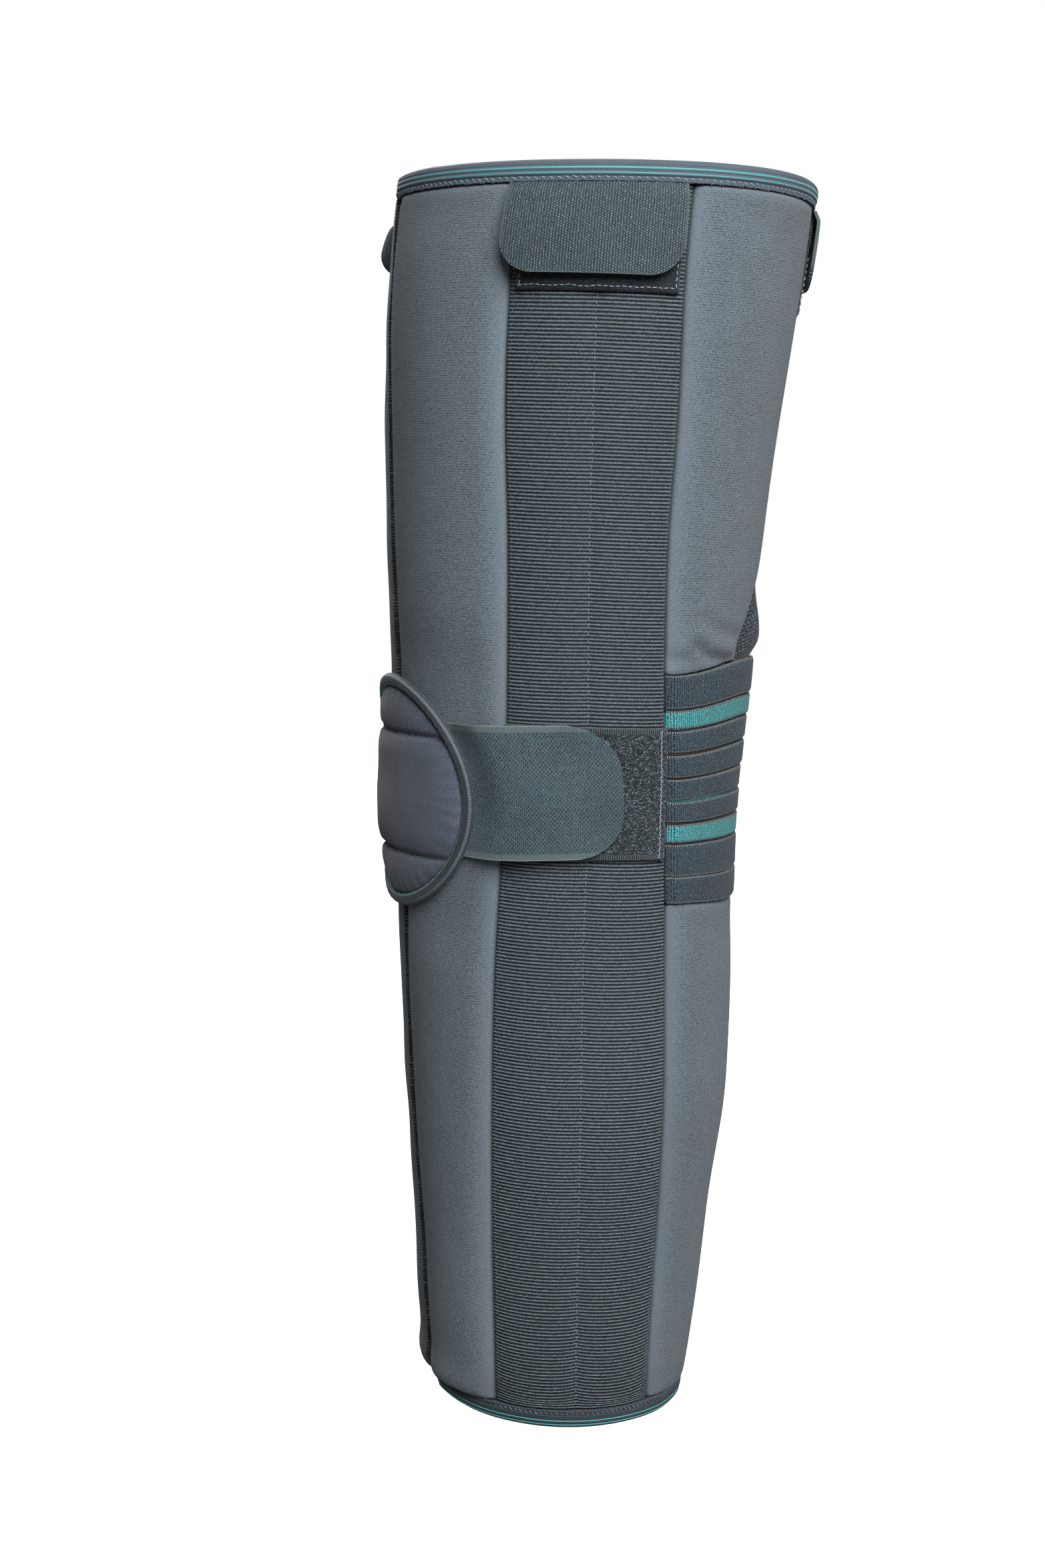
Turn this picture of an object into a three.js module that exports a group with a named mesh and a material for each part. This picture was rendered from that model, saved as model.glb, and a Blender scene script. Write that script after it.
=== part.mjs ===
// Knee immobilizer: a long padded wrap that stands as a tapering tube round a straight leg.
// The tube runs from mid thigh to above the ankle, +Z up, with the shin side toward -Y and the
// outer (lateral) side toward +X. Azimuths are degrees from the shin side toward the outer side.
import * as THREE from 'three';
import { mergeVertices } from 'three/addons/utils/BufferGeometryUtils.js';

// Leg
const LENGTH = 500;
const KNEE_HEIGHT = 258;
const THIGH_WIDTH = 171;
const KNEE_WIDTH = 144;
const ANKLE_WIDTH = 108;
const KNEE_FORWARD = 6.8;
const WRAP_TURN = 4;

// Padded wrap
const WALL = 9;
const SEAM_GAP = 0.5;
const LAYER_GAP = 0.45;
const EDGE_ROLL = 6;
const SEAM_SINK = 3.2;
const BINDING_HEIGHT = 8;
const BINDING_PROUD = 0.4;
const BINDING_ROUND = 1.4;
const BINDING_STEPS = 43;
const CLOSURE_SINK = 3.6;
const TONGUE = 2.7;
const FREE_EDGE_AZIMUTH = -10;
const TONGUE_REACH = 0.42;
const TUCK_TURN = 5;

// Stay channels down both sides
const CHANNEL_AZIMUTH = 70;
const CHANNEL_WIDTH = 65;
const CHANNEL_SINK = 1;
const POCKET_SWELL = 1.2;

// Back of the wrap
const BACK_STRIP_HALF = 25;
const BACK_STRIP_SINK = 1.4;
const BACK_FLARE = 25;
const BACK_FLARE_HEIGHT = 58;
const POPLITEAL_SINK = 2.2;
const ELASTIC_HEIGHT = 96;
const ELASTIC_THICKNESS = 1.8;
const ELASTIC_WEB = 0.7;

// Knee pad and its straps
const PAD_AZIMUTH = -4;
const PAD_WIDTH = 89;
const PAD_THICKNESS = 5.2;
const PAD_QUILT = 22;
const PAD_QUILT_SINK = 1.6;
const PAD_CORD = 6.4;
const STRAP_HEIGHT = 52;
const STRAP_THICKNESS = 1.6;
const STRAP_END_AZIMUTH = 82;
const STRAP_CORNER = 18;
const LOOP_THICKNESS = 1.3;
const KNEE_LOOP_HEIGHT = 52;

// Flaps that fold down over the top rim
const FLAP_WIDTH = 70;
const FLAP_HEIGHT = 34;
const FLAP_CORNER = 13;
const TOP_LOOP_WIDTH = 60;
const TOP_LOOP_HEIGHT = 41;
const LATERAL_FLAP_STANDS_OFF = 3;
const MEDIAL_FLAP_STANDS_OFF = 8;
const BACK_FLAP_STANDS_OFF = 6.5;

// Sections of the leg, from the lower rim (-1) past the knee (0) to the upper rim (1).
// rise is a share of the height from the knee to that rim, swell a share of the change of width
// from the knee to that rim, forward a share of KNEE_FORWARD and turn a share of WRAP_TURN.
const LEG_SECTIONS = [
  { rise: -1, swell: -1, forward: 0, turn: 1 },
  { rise: -0.904, swell: -0.83, forward: 0.15, turn: 1 },
  { rise: -0.683, swell: -0.54, forward: 0.2, turn: 0.5 },
  { rise: -0.465, swell: -0.24, forward: 0.25, turn: 0.5 },
  { rise: -0.248, swell: -0.125, forward: 0.6, turn: 0.75 },
  { rise: 0, swell: 0, forward: 0.95, turn: 1 },
  { rise: 0.19, swell: 0.19, forward: 0.95, turn: 0.5 },
  { rise: 0.415, swell: 0.45, forward: 1, turn: 0 },
  { rise: 0.638, swell: 0.75, forward: 0.85, turn: -0.5 },
  { rise: 0.816, swell: 0.94, forward: 0.45, turn: -0.9 },
  { rise: 1, swell: 1, forward: 0, turn: -1 },
];

// Strips of the elastic from its lower edge up, as shares of its height
const ELASTIC_STRIPS = [
  { tall: 0.114, gap: 0.009 },
  { tall: 0.131, gap: 0.02 },
  { tall: 0.067, gap: 0.026 },
  { tall: 0.073, gap: 0.026 },
  { tall: 0.076, gap: 0.02 },
  { tall: 0.082, gap: 0.029 },
  { tall: 0.079, gap: 0.02 },
  { tall: 0.07, gap: 0.02 },
  { tall: 0.137, gap: 0 },
];

const COLOURS = {
  panel: 0x74808a,
  channel: 0x4b545b,
  knit: 0x2c2f32,
  binding: 0x5f6971,
  elastic: 0x475057,
  pad: 0x505760,
  hook: 0x4b595f,
  loop: 0x404b4f,
};

const { degToRad, lerp, radToDeg, smoothstep } = THREE.MathUtils;

const leg = LEG_SECTIONS.map(({ rise, swell, forward, turn }) => ({
  height: KNEE_HEIGHT + rise * (rise > 0 ? LENGTH - KNEE_HEIGHT : KNEE_HEIGHT),
  radius: (KNEE_WIDTH + swell * (swell > 0 ? THIGH_WIDTH - KNEE_WIDTH : KNEE_WIDTH - ANKLE_WIDTH)) / 2,
  forward: forward * KNEE_FORWARD,
  turn: turn * WRAP_TURN,
}));

// One of radius, forward and turn at a height, on a smooth curve through the leg's sections
function legValue(key, height) {
  const last = leg.length - 1;
  const next = leg.findIndex((section) => section.height > height);
  const i = next < 0 ? last - 1 : Math.max(next - 1, 0);
  const slope = (k) => {
    const below = leg[Math.max(k - 1, 0)];
    const above = leg[Math.min(k + 1, last)];
    return (above[key] - below[key]) / (above.height - below.height);
  };
  const span = leg[i + 1].height - leg[i].height;
  const t = (height - leg[i].height) / span;
  return leg[i][key] * (1 + 2 * t) * (1 - t) ** 2
    + leg[i + 1][key] * t * t * (3 - 2 * t)
    + span * (slope(i) * t * (1 - t) ** 2 + slope(i + 1) * t * t * (t - 1));
}

// A point at an azimuth and a height, a distance outside the wrap's nominal outer face
function onLeg(azimuth, height, offset) {
  const turned = degToRad(azimuth + legValue('turn', height));
  const reach = legValue('radius', height) + offset;
  return new THREE.Vector3(
    reach * Math.sin(turned),
    -reach * Math.cos(turned) - legValue('forward', height),
    height,
  );
}

const degreesOf = (length, height) => radToDeg(length / legValue('radius', height));

// The geometry with its shared corners joined and each of them moved to place(x, y, z)
function mapped(geometry, place) {
  geometry.deleteAttribute('normal');
  geometry.deleteAttribute('uv');
  const joined = mergeVertices(geometry, 1e-5);
  const points = joined.getAttribute('position');
  for (let i = 0; i < points.count; i += 1) {
    const { x, y, z } = place(points.getX(i), points.getY(i), points.getZ(i));
    points.setXYZ(i, x, y, z);
  }
  joined.computeVertexNormals();
  return joined;
}

// A curved slab. Its columns run round the leg and its rows up it; the column gives the azimuth
// at a height, and outer and inner give the offsets of the two faces.
function wall({ columns, rows, outer, inner }) {
  const slab = new THREE.BoxGeometry(1, 1, 1, columns.length - 1, 1, rows.length - 1);
  return mapped(slab, (x, y, z) => {
    const column = columns[Math.round((x + 0.5) * (columns.length - 1))];
    const row = rows[Math.round((z + 0.5) * (rows.length - 1))];
    const offset = y < 0 ? outer(column, row) : inner(column, row);
    return onLeg(column.azimuth(row.height), row.height, offset);
  });
}

// Shares along a length whose ends follow a rolled edge, with its drop, and bends between them
function rolledStations(length, bends) {
  const roll = EDGE_ROLL / length;
  const end = [{ share: 0, drop: 1 }, { share: 0.25 * roll, drop: 0.34 }, { share: roll, drop: 0 }];
  const otherEnd = end.map(({ share, drop }) => ({ share: 1 - share, drop })).reverse();
  return [...end, ...bends.map((share) => ({ share, drop: 0 })), ...otherEnd];
}

const evenShares = (steps) => Array.from({ length: steps - 1 }, (_, i) => (i + 1) / steps);

const evenStations = (steps) => (
  Array.from({ length: steps + 1 }, (_, i) => ({ share: i / steps, drop: 0 })));

const between = (stations, from, to) => stations.map((station) => (
  { ...station, azimuth: (height) => lerp(from(height), to(height), station.share) }));

const up = (stations, bottom, top) => stations.map((station) => (
  { ...station, height: lerp(bottom, top, station.share) }));

// Both drops together, so that a corner is no lower than an edge
const dropAt = (column, row) => 1 - (1 - column.drop) * (1 - row.drop);

// Edges that neighbours share, each as an azimuth at a height
const halfGap = (height) => degreesOf(SEAM_GAP / 2, height);
const channelEdge = (side, way) => (height) => (
  side * CHANNEL_AZIMUTH + way * degreesOf(CHANNEL_WIDTH / 2, height));
const freeEdge = () => FREE_EDGE_AZIMUTH;
const tongueEnd = (height) => lerp(FREE_EDGE_AZIMUTH, channelEdge(1, -1)(height), TONGUE_REACH);
const backEdge = (height) => {
  const aboveElastic = height - KNEE_HEIGHT - ELASTIC_HEIGHT / 2;
  const flare = aboveElastic < 0 ? 0 : 1 - smoothstep(aboveElastic, 0, BACK_FLARE_HEIGHT);
  return BACK_STRIP_HALF + BACK_FLARE * flare;
};
const shifted = (edge, way) => (height) => edge(height) + way * halfGap(height);

const WRAP_BOTTOM = BINDING_HEIGHT + SEAM_GAP;
const WRAP_TOP = LENGTH - BINDING_HEIGHT - SEAM_GAP;
const ELASTIC_BOTTOM = KNEE_HEIGHT - ELASTIC_HEIGHT / 2;
const ELASTIC_TOP = KNEE_HEIGHT + ELASTIC_HEIGHT / 2;
const OVERLAP_INNER = TONGUE + LAYER_GAP - WALL;
const LOOP_INNER = LAYER_GAP - CHANNEL_SINK;
const LOOP_OUTER = LOOP_INNER + LOOP_THICKNESS;
const TAPE_INNER = LOOP_OUTER + LAYER_GAP;

// The two stretches of the wrap's back, each with the rows that its panels and strip share
const backStretches = [
  { name: 'thigh', bottom: ELASTIC_TOP + SEAM_GAP, top: WRAP_TOP, flare: BACK_FLARE_HEIGHT },
  { name: 'calf', bottom: WRAP_BOTTOM, top: ELASTIC_BOTTOM - SEAM_GAP, flare: 0 },
].map((stretch) => {
  const { bottom, top, flare } = stretch;
  const flared = flare / (top - bottom);
  const bends = [
    ...(flare > 0 ? [0.3, 0.45, 0.6, 0.8, 1].map((share) => share * flared) : []),
    ...evenShares(6).map((share) => lerp(flared, 1, share)),
  ];
  return { ...stretch, rows: up(rolledStations(top - bottom, bends), bottom, top) };
});

// A foam panel with rolled edges all round
function puffyWall(from, to, rows) {
  const middle = (rows.at(0).height + rows.at(-1).height) / 2;
  const width = degToRad(to(middle) - from(middle)) * legValue('radius', middle);
  return wall({
    columns: between(rolledStations(width, evenShares(4)), shifted(from, 1), shifted(to, -1)),
    rows,
    outer: (column, row) => -SEAM_SINK * dropAt(column, row),
    inner: () => -WALL,
  });
}

// The front panel's free edge lies over the closure strip's tongue, so it is thinner there
function frontPanel() {
  const to = channelEdge(1, -1);
  const width = degToRad(to(KNEE_HEIGHT) - FREE_EDGE_AZIMUTH) * KNEE_WIDTH / 2;
  const roll = EDGE_ROLL / width;
  const columns = [
    { share: 0, drop: 1, over: 1 },
    { share: 0.25 * roll, drop: 0.34, over: 1 },
    { share: roll, drop: 0, over: 1 },
    { share: (roll + TONGUE_REACH) / 2, drop: 0, over: 1 },
    { share: TONGUE_REACH + 0.02, drop: 0, over: 1 },
    { share: TONGUE_REACH + 0.12, drop: 0, over: 0 },
    { share: 0.75, drop: 0, over: 0 },
    { share: 1 - roll, drop: 0, over: 0 },
    { share: 1 - 0.25 * roll, drop: 0.34, over: 0 },
    { share: 1, drop: 1, over: 0 },
  ];
  return wall({
    columns: between(columns, freeEdge, shifted(to, -1)),
    rows: up(rolledStations(WRAP_TOP - WRAP_BOTTOM, evenShares(17)), WRAP_BOTTOM, WRAP_TOP),
    outer: (column, row) => -SEAM_SINK * dropAt(column, row),
    inner: (column) => (column.over ? OVERLAP_INNER : -WALL),
  });
}

// The dark strip beside the free edge, and its tongue under it
function closureStrip() {
  const from = shifted(channelEdge(-1, 1), 1);
  const shown = [0, 0.33, 0.67, 1].map((share) => ({
    azimuth: (height) => lerp(from(height), FREE_EDGE_AZIMUTH - 2, share),
    outer: -CLOSURE_SINK,
  }));
  const tucked = [0, 0.5, 1].map((share) => ({
    azimuth: (height) => lerp(FREE_EDGE_AZIMUTH - 1, tongueEnd(height), share),
    outer: TONGUE - WALL,
  }));
  return wall({
    columns: [...shown, ...tucked],
    rows: up(evenStations(18), WRAP_BOTTOM, WRAP_TOP),
    outer: (column) => column.outer,
    inner: () => -WALL,
  });
}

// Two stay pockets side by side, with a seam down the middle
function channel(side) {
  const pocket = [0, 0.15, 0.5, 0.85, 1];
  const stations = [...pocket.map((share) => share / 2), ...pocket.slice(1).map((share) => 0.5 + share / 2)]
    .map((share) => ({ share, drop: Math.abs(2 * ((2 * share) % 1) - 1) ** 3 }));
  return wall({
    columns: between(stations, shifted(channelEdge(side, -1), 1), shifted(channelEdge(side, 1), -1)),
    rows: up(evenStations(18), WRAP_BOTTOM, WRAP_TOP),
    outer: (column) => -CHANNEL_SINK - POCKET_SWELL * column.drop,
    inner: () => -WALL,
  });
}

// The dark strip down the back, wider just above the elastic
function backStrip(rows) {
  const half = shifted(backEdge, -1);
  return wall({
    columns: between(evenStations(4), (height) => 180 - half(height), (height) => 180 + half(height)),
    rows,
    outer: () => -BACK_STRIP_SINK,
    inner: () => -WALL,
  });
}

// Columns from the lateral channel round the back of the knee to the medial one
const POPLITEAL_STEPS = 14;
const aroundBack = (stations) => between(
  stations,
  shifted(channelEdge(1, 1), 1),
  (height) => 360 + shifted(channelEdge(-1, -1), -1)(height),
);

// The dark wall behind the knee, under the elastic
function poplitealPanel() {
  return wall({
    columns: aroundBack(evenStations(POPLITEAL_STEPS)),
    rows: up(evenStations(4), ELASTIC_BOTTOM, ELASTIC_TOP),
    outer: () => -POPLITEAL_SINK,
    inner: () => -WALL,
  });
}

// One woven band of thick strips with thin webs between them
function poplitealElastic() {
  const rows = [];
  let share = 0;
  for (const { tall, gap } of ELASTIC_STRIPS) {
    rows.push({ share, web: false }, { share: share + tall, web: false });
    if (gap > 0) rows.push({ share: share + tall + gap / 2, web: true });
    share += tall + gap;
  }
  const outer = ELASTIC_THICKNESS + LAYER_GAP - POPLITEAL_SINK;
  return wall({
    columns: aroundBack(evenStations(POPLITEAL_STEPS)),
    rows: up(rows, ELASTIC_BOTTOM + SEAM_GAP, ELASTIC_TOP - SEAM_GAP),
    outer: (column, row) => outer - (row.web ? ELASTIC_THICKNESS - ELASTIC_WEB : 0),
    inner: () => LAYER_GAP - POPLITEAL_SINK,
  });
}

// A rim binding winds once round from the free edge, sinks to the closure strip and ends on the
// tongue under its own start
function binding(bottom, rim) {
  const tongue = tongueEnd(rim);
  const lapEnd = tongue + degreesOf(3 * SEAM_GAP, rim);
  const tuck = 360 + FREE_EDGE_AZIMUTH - TUCK_TURN;
  const sinkStart = 360 - CHANNEL_AZIMUTH;
  const sinkEnd = 360 + channelEdge(-1, 1)(rim);
  const run = (from, to, steps, section) => Array.from({ length: steps + 1 }, (_, i) => {
    const azimuth = lerp(from, to, i / steps);
    return { azimuth: () => azimuth, ...section(azimuth) };
  });
  const lapped = run(FREE_EDGE_AZIMUTH, lapEnd, 3, () => ({ outer: BINDING_PROUD, inner: OVERLAP_INNER }));
  const round = run(lapEnd + TUCK_TURN, tuck, BINDING_STEPS, (azimuth) => ({
    outer: lerp(BINDING_PROUD, -CLOSURE_SINK, smoothstep(azimuth, sinkStart, sinkEnd)),
    inner: -WALL,
  }));
  const tucked = run(tuck + 0.8 * TUCK_TURN, 360 + tongue, 3, () => ({ outer: TONGUE - WALL, inner: -WALL }));
  const rows = up([0, 0.3, 0.7, 1].map((share) => ({ share })), bottom, bottom + BINDING_HEIGHT);
  const rounded = (column, row) => (
    Math.abs(row.height - rim) < SEAM_GAP ? Math.min(BINDING_ROUND, (column.outer - column.inner) / 4) : 0);
  return wall({
    columns: [...lapped, ...round, ...tucked],
    rows,
    outer: (column, row) => column.outer - rounded(column, row),
    inner: (column, row) => column.inner + rounded(column, row),
  });
}

// The patch of loop fabric on a channel, lying between two heights
function loopPatch(azimuth, width, bottom, top) {
  return wall({
    columns: between(
      evenStations(6),
      (height) => azimuth - degreesOf(width / 2, height),
      (height) => azimuth + degreesOf(width / 2, height),
    ),
    rows: up(evenStations(3), bottom, top),
    outer: () => LOOP_OUTER,
    inner: () => LOOP_INNER,
  });
}

// How much narrower a tape is, on each side, at a distance from its rounded end
const cornerInset = (distance, radius) => (
  distance < radius ? radius - Math.sqrt(radius ** 2 - (radius - distance) ** 2) : 0);

// A flap hangs from the binding and stands off the leg at its free edge
function flap(azimuth, standsOff) {
  const below = [0, 0.1, 0.3, 0.6, 1].map((share) => share * FLAP_CORNER / FLAP_HEIGHT);
  const rows = [...below, (1 + FLAP_CORNER / FLAP_HEIGHT) / 2, 1].map((share) => ({ share }));
  const half = (height) => {
    const inset = cornerInset(height - (WRAP_TOP - FLAP_HEIGHT), FLAP_CORNER);
    return degreesOf(FLAP_WIDTH / 2 - inset, height);
  };
  const lift = (row) => TAPE_INNER + standsOff * Math.sin((1 - row.share) * Math.PI / 2) ** 1.3;
  return wall({
    columns: between(evenStations(8), (height) => azimuth - half(height), (height) => azimuth + half(height)),
    rows: up(rows, WRAP_TOP - FLAP_HEIGHT, WRAP_TOP),
    outer: (column, row) => lift(row) + STRAP_THICKNESS,
    inner: (column, row) => lift(row),
  });
}

// A point on the knee pad from its middle: across, up and out from the wrap
const onPad = (across, rise, out) => {
  const height = KNEE_HEIGHT + rise;
  return onLeg(PAD_AZIMUTH + degreesOf(across, height), height, LAYER_GAP + out);
};

// A domed pad, lower along its two quilt seams
function kneePad() {
  const radius = PAD_WIDTH / 2 - PAD_CORD - SEAM_GAP;
  const dome = (share) => PAD_THICKNESS * (0.62 + 0.38 * Math.cos(share * Math.PI / 2));
  const shares = [0, 0.3, 0.55, 0.75, 0.9, 1];
  const profile = [
    ...[0, 0.25, 0.5, 0.75, 1].map((share) => new THREE.Vector2(share * radius, 0)),
    ...shares.toReversed().map((share) => new THREE.Vector2(share * radius, dome(share))),
  ];
  return mapped(new THREE.LatheGeometry(profile, 32), (x, y, z) => {
    const seam = Math.max(0, 1 - Math.abs(Math.abs(z) - PAD_QUILT) / PAD_CORD);
    return onPad(x, -z, y > 0 ? y - PAD_QUILT_SINK * seam : y);
  });
}

// The rolled binding round the knee pad's edge
function kneePadBinding() {
  const cord = new THREE.TorusGeometry(PAD_WIDTH / 2 - PAD_CORD / 2, PAD_CORD / 2, 8, 36);
  return mapped(cord, (x, y, z) => onPad(x, y, z + PAD_CORD / 2));
}

// A strap leaves the pad's binding and lies over the knee loop with a rounded end
function strap(side) {
  const start = PAD_WIDTH / 2 + SEAM_GAP;
  const reach = degToRad(STRAP_END_AZIMUTH - side * PAD_AZIMUTH) * KNEE_WIDTH / 2;
  const corner = STRAP_CORNER / (reach - start);
  const straight = [0, 0.2, 0.4, 0.6, 0.8].map((share) => share * (1 - corner));
  const rounded = [1, 0.6, 0.3, 0.1, 0].map((share) => 1 - share * corner);
  const shares = [...straight, ...rounded];
  const slab = new THREE.BoxGeometry(1, 1, 1, shares.length - 1, 1, 6);
  return mapped(slab, (x, y, z) => {
    const share = shares[Math.round((0.5 + side * x) * (shares.length - 1))];
    const besidePad = Math.sqrt(start ** 2 - (z * STRAP_HEIGHT) ** 2);
    const across = lerp(besidePad, reach, share);
    const inset = cornerInset((1 - share) * (reach - start), STRAP_CORNER);
    const rise = z * (STRAP_HEIGHT - 2 * inset);
    const height = KNEE_HEIGHT + rise;
    const offset = TAPE_INNER + (y < 0 ? STRAP_THICKNESS : 0);
    return onLeg(PAD_AZIMUTH + side * degreesOf(across, height), height, offset);
  });
}

function mesh(name, geometry, color, roughness) {
  const made = new THREE.Mesh(geometry, new THREE.MeshStandardMaterial({ color, roughness, metalness: 0 }));
  made.name = name;
  return made;
}

const immobilizer = new THREE.Group();

immobilizer.add(mesh('top_binding', binding(LENGTH - BINDING_HEIGHT, LENGTH), COLOURS.binding, 0.85));
immobilizer.add(mesh('bottom_binding', binding(0, 0), COLOURS.binding, 0.85));
immobilizer.add(mesh('front_panel', frontPanel(), COLOURS.panel, 0.95));
immobilizer.add(mesh('closure_strip', closureStrip(), COLOURS.knit, 0.95));

for (const { name, rows } of backStretches) {
  const lateral = puffyWall(channelEdge(1, 1), (height) => 180 - backEdge(height), rows);
  const medial = puffyWall(
    (height) => 180 + backEdge(height),
    (height) => 360 + channelEdge(-1, -1)(height),
    rows,
  );
  immobilizer.add(mesh(`${name}_panel_lateral`, lateral, COLOURS.panel, 0.95));
  immobilizer.add(mesh(`${name}_panel_medial`, medial, COLOURS.panel, 0.95));
  immobilizer.add(mesh(`back_strip_${name}`, backStrip(rows), COLOURS.knit, 0.95));
}
immobilizer.add(mesh('popliteal_panel', poplitealPanel(), COLOURS.knit, 0.95));
immobilizer.add(mesh('popliteal_elastic', poplitealElastic(), COLOURS.elastic, 0.8));

immobilizer.add(mesh('knee_pad', kneePad(), COLOURS.pad, 0.95));
immobilizer.add(mesh('knee_pad_binding', kneePadBinding(), COLOURS.binding, 0.85));

for (const [side, name] of [[1, 'lateral'], [-1, 'medial']]) {
  const azimuth = side * CHANNEL_AZIMUTH;
  const kneeLoop = loopPatch(
    azimuth,
    CHANNEL_WIDTH,
    KNEE_HEIGHT - KNEE_LOOP_HEIGHT / 2,
    KNEE_HEIGHT + KNEE_LOOP_HEIGHT / 2,
  );
  immobilizer.add(mesh(`channel_${name}`, channel(side), COLOURS.channel, 0.9));
  immobilizer.add(mesh(`knee_loop_${name}`, kneeLoop, COLOURS.loop, 0.98));
  immobilizer.add(mesh(`strap_${name}`, strap(side), COLOURS.hook, 0.7));
}

const flaps = [
  { name: 'lateral', azimuth: CHANNEL_AZIMUTH, standsOff: LATERAL_FLAP_STANDS_OFF },
  { name: 'medial', azimuth: -CHANNEL_AZIMUTH, standsOff: MEDIAL_FLAP_STANDS_OFF },
  { name: 'back', azimuth: 180, standsOff: BACK_FLAP_STANDS_OFF },
];
for (const { name, azimuth, standsOff } of flaps) {
  const topLoop = loopPatch(azimuth, TOP_LOOP_WIDTH, WRAP_TOP - TOP_LOOP_HEIGHT, WRAP_TOP);
  immobilizer.add(mesh(`top_loop_${name}`, topLoop, COLOURS.loop, 0.98));
  immobilizer.add(mesh(`flap_${name}`, flap(azimuth, standsOff), COLOURS.hook, 0.7));
}

export default immobilizer;
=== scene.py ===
"""Looks of a knee immobilizer: a long padded wrap that stands as a tapering tube.

Metres, +Z up, shin side toward -Y, outer side toward +X. Azimuths are degrees from the shin
side toward the outer side. All of its pieces are cloth, webbing or foam sewn to each other.
"""

import math

import bpy
import numpy as np
from mathutils import Matrix, Vector


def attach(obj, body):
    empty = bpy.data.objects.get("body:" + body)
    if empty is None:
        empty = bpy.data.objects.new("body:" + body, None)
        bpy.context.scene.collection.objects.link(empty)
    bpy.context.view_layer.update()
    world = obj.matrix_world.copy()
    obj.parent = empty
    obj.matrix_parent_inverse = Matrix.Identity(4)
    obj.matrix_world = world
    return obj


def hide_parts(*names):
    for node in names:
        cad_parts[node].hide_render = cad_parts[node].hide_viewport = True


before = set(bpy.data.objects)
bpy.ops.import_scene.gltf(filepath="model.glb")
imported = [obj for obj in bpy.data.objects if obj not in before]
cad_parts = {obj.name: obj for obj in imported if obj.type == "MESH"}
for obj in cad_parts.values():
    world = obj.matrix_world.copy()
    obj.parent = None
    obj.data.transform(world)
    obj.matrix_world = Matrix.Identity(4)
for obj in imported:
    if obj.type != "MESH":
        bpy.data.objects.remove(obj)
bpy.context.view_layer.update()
scene = bpy.context.scene


# Camera
# A normal lens at thigh height, from the outer front. It looks down a little and isn't level.
VIEW_AZIMUTH, VIEW_DISTANCE, VIEW_HEIGHT = math.radians(65.5), 0.9087, 0.362
VIEW_PAN, VIEW_TILT, VIEW_ROLL = (math.radians(a) for a in (1.54, -6.495, 2.302))
camera = bpy.data.objects.new("camera", bpy.data.cameras.new("camera"))
scene.collection.objects.link(camera)
scene.camera = camera
camera.data.lens, camera.data.sensor_width = 50, 36
camera.location = (
    VIEW_DISTANCE * math.sin(VIEW_AZIMUTH),
    -VIEW_DISTANCE * math.cos(VIEW_AZIMUTH),
    VIEW_HEIGHT,
)
camera.rotation_euler = (
    Matrix.Rotation(VIEW_AZIMUTH + VIEW_PAN, 3, "Z")
    @ Matrix.Rotation(math.pi / 2 + VIEW_TILT, 3, "X")
    @ Matrix.Rotation(VIEW_ROLL, 3, "Z")
).to_euler()


# Studio
# A large soft box on the camera's right, a weaker one behind, and pale light all round. The
# floor is a plain white sheet, and the backdrop is white too.
def soft_box(name, azimuth, elevation, distance, size, power):
    turn, rise = math.radians(azimuth), math.radians(elevation)
    way = Vector(
        (math.sin(turn) * math.cos(rise), -math.cos(turn) * math.cos(rise), math.sin(rise))
    )
    lamp = bpy.data.objects.new(name, bpy.data.lights.new(name, "AREA"))
    scene.collection.objects.link(lamp)
    lamp.data.shape, lamp.data.size, lamp.data.energy = "SQUARE", size, power
    lamp.location = Vector((0, 0, 0.27)) + distance * way
    lamp.rotation_euler = way.to_track_quat("Z", "Y").to_euler()


soft_box("key", 84, 37, 2.1, 1.4, 78)
soft_box("back", 258, 32, 2.3, 1.6, 62)


def by_ray(tree, socket, low, high):
    """Gives a socket its high value where the camera looks straight at it, and else the low."""
    seen = tree.nodes.new("ShaderNodeLightPath").outputs["Is Camera Ray"]
    shine = tree.nodes.new("ShaderNodeMapRange")
    shine.inputs["To Min"].default_value, shine.inputs["To Max"].default_value = low, high
    tree.links.new(seen, shine.inputs["Value"])
    tree.links.new(shine.outputs[0], socket)


sky = bpy.data.worlds.new("studio")
scene.world = sky
sky.use_nodes = True
background = sky.node_tree.nodes["Background"].inputs
by_ray(sky.node_tree, background["Strength"], 0.07, 1)
background["Color"].default_value = (1, 1, 1, 1)
scene.view_settings.view_transform = "Standard"


def deselect_all():
    bpy.ops.object.select_all(action="DESELECT")


deselect_all()
bpy.ops.mesh.primitive_plane_add(size=40, location=(0, 0, 0))
floor = bpy.context.object
floor.name = "floor"
floor_paint = bpy.data.materials.new("white floor")
floor_paint.use_nodes = True
shader = floor_paint.node_tree.nodes["Principled BSDF"]
by_ray(floor_paint.node_tree, shader.inputs["Base Color"], 0.15, 0.6)
by_ray(floor_paint.node_tree, shader.inputs["Emission Strength"], 0, 0.97)
shader.inputs["Emission Color"].default_value = (1, 1, 1, 1)
shader.inputs["Roughness"].default_value = 0.9
floor.data.materials.append(floor_paint)


# Foam panels
# Light grey brushed knit over foam, puffed, with edges rolled down into the seams. Five of
# them go round the leg: one in front, and two behind each channel, above and below the knee.
LENGTH, KNEE_HEIGHT = 0.5, 0.258
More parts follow.
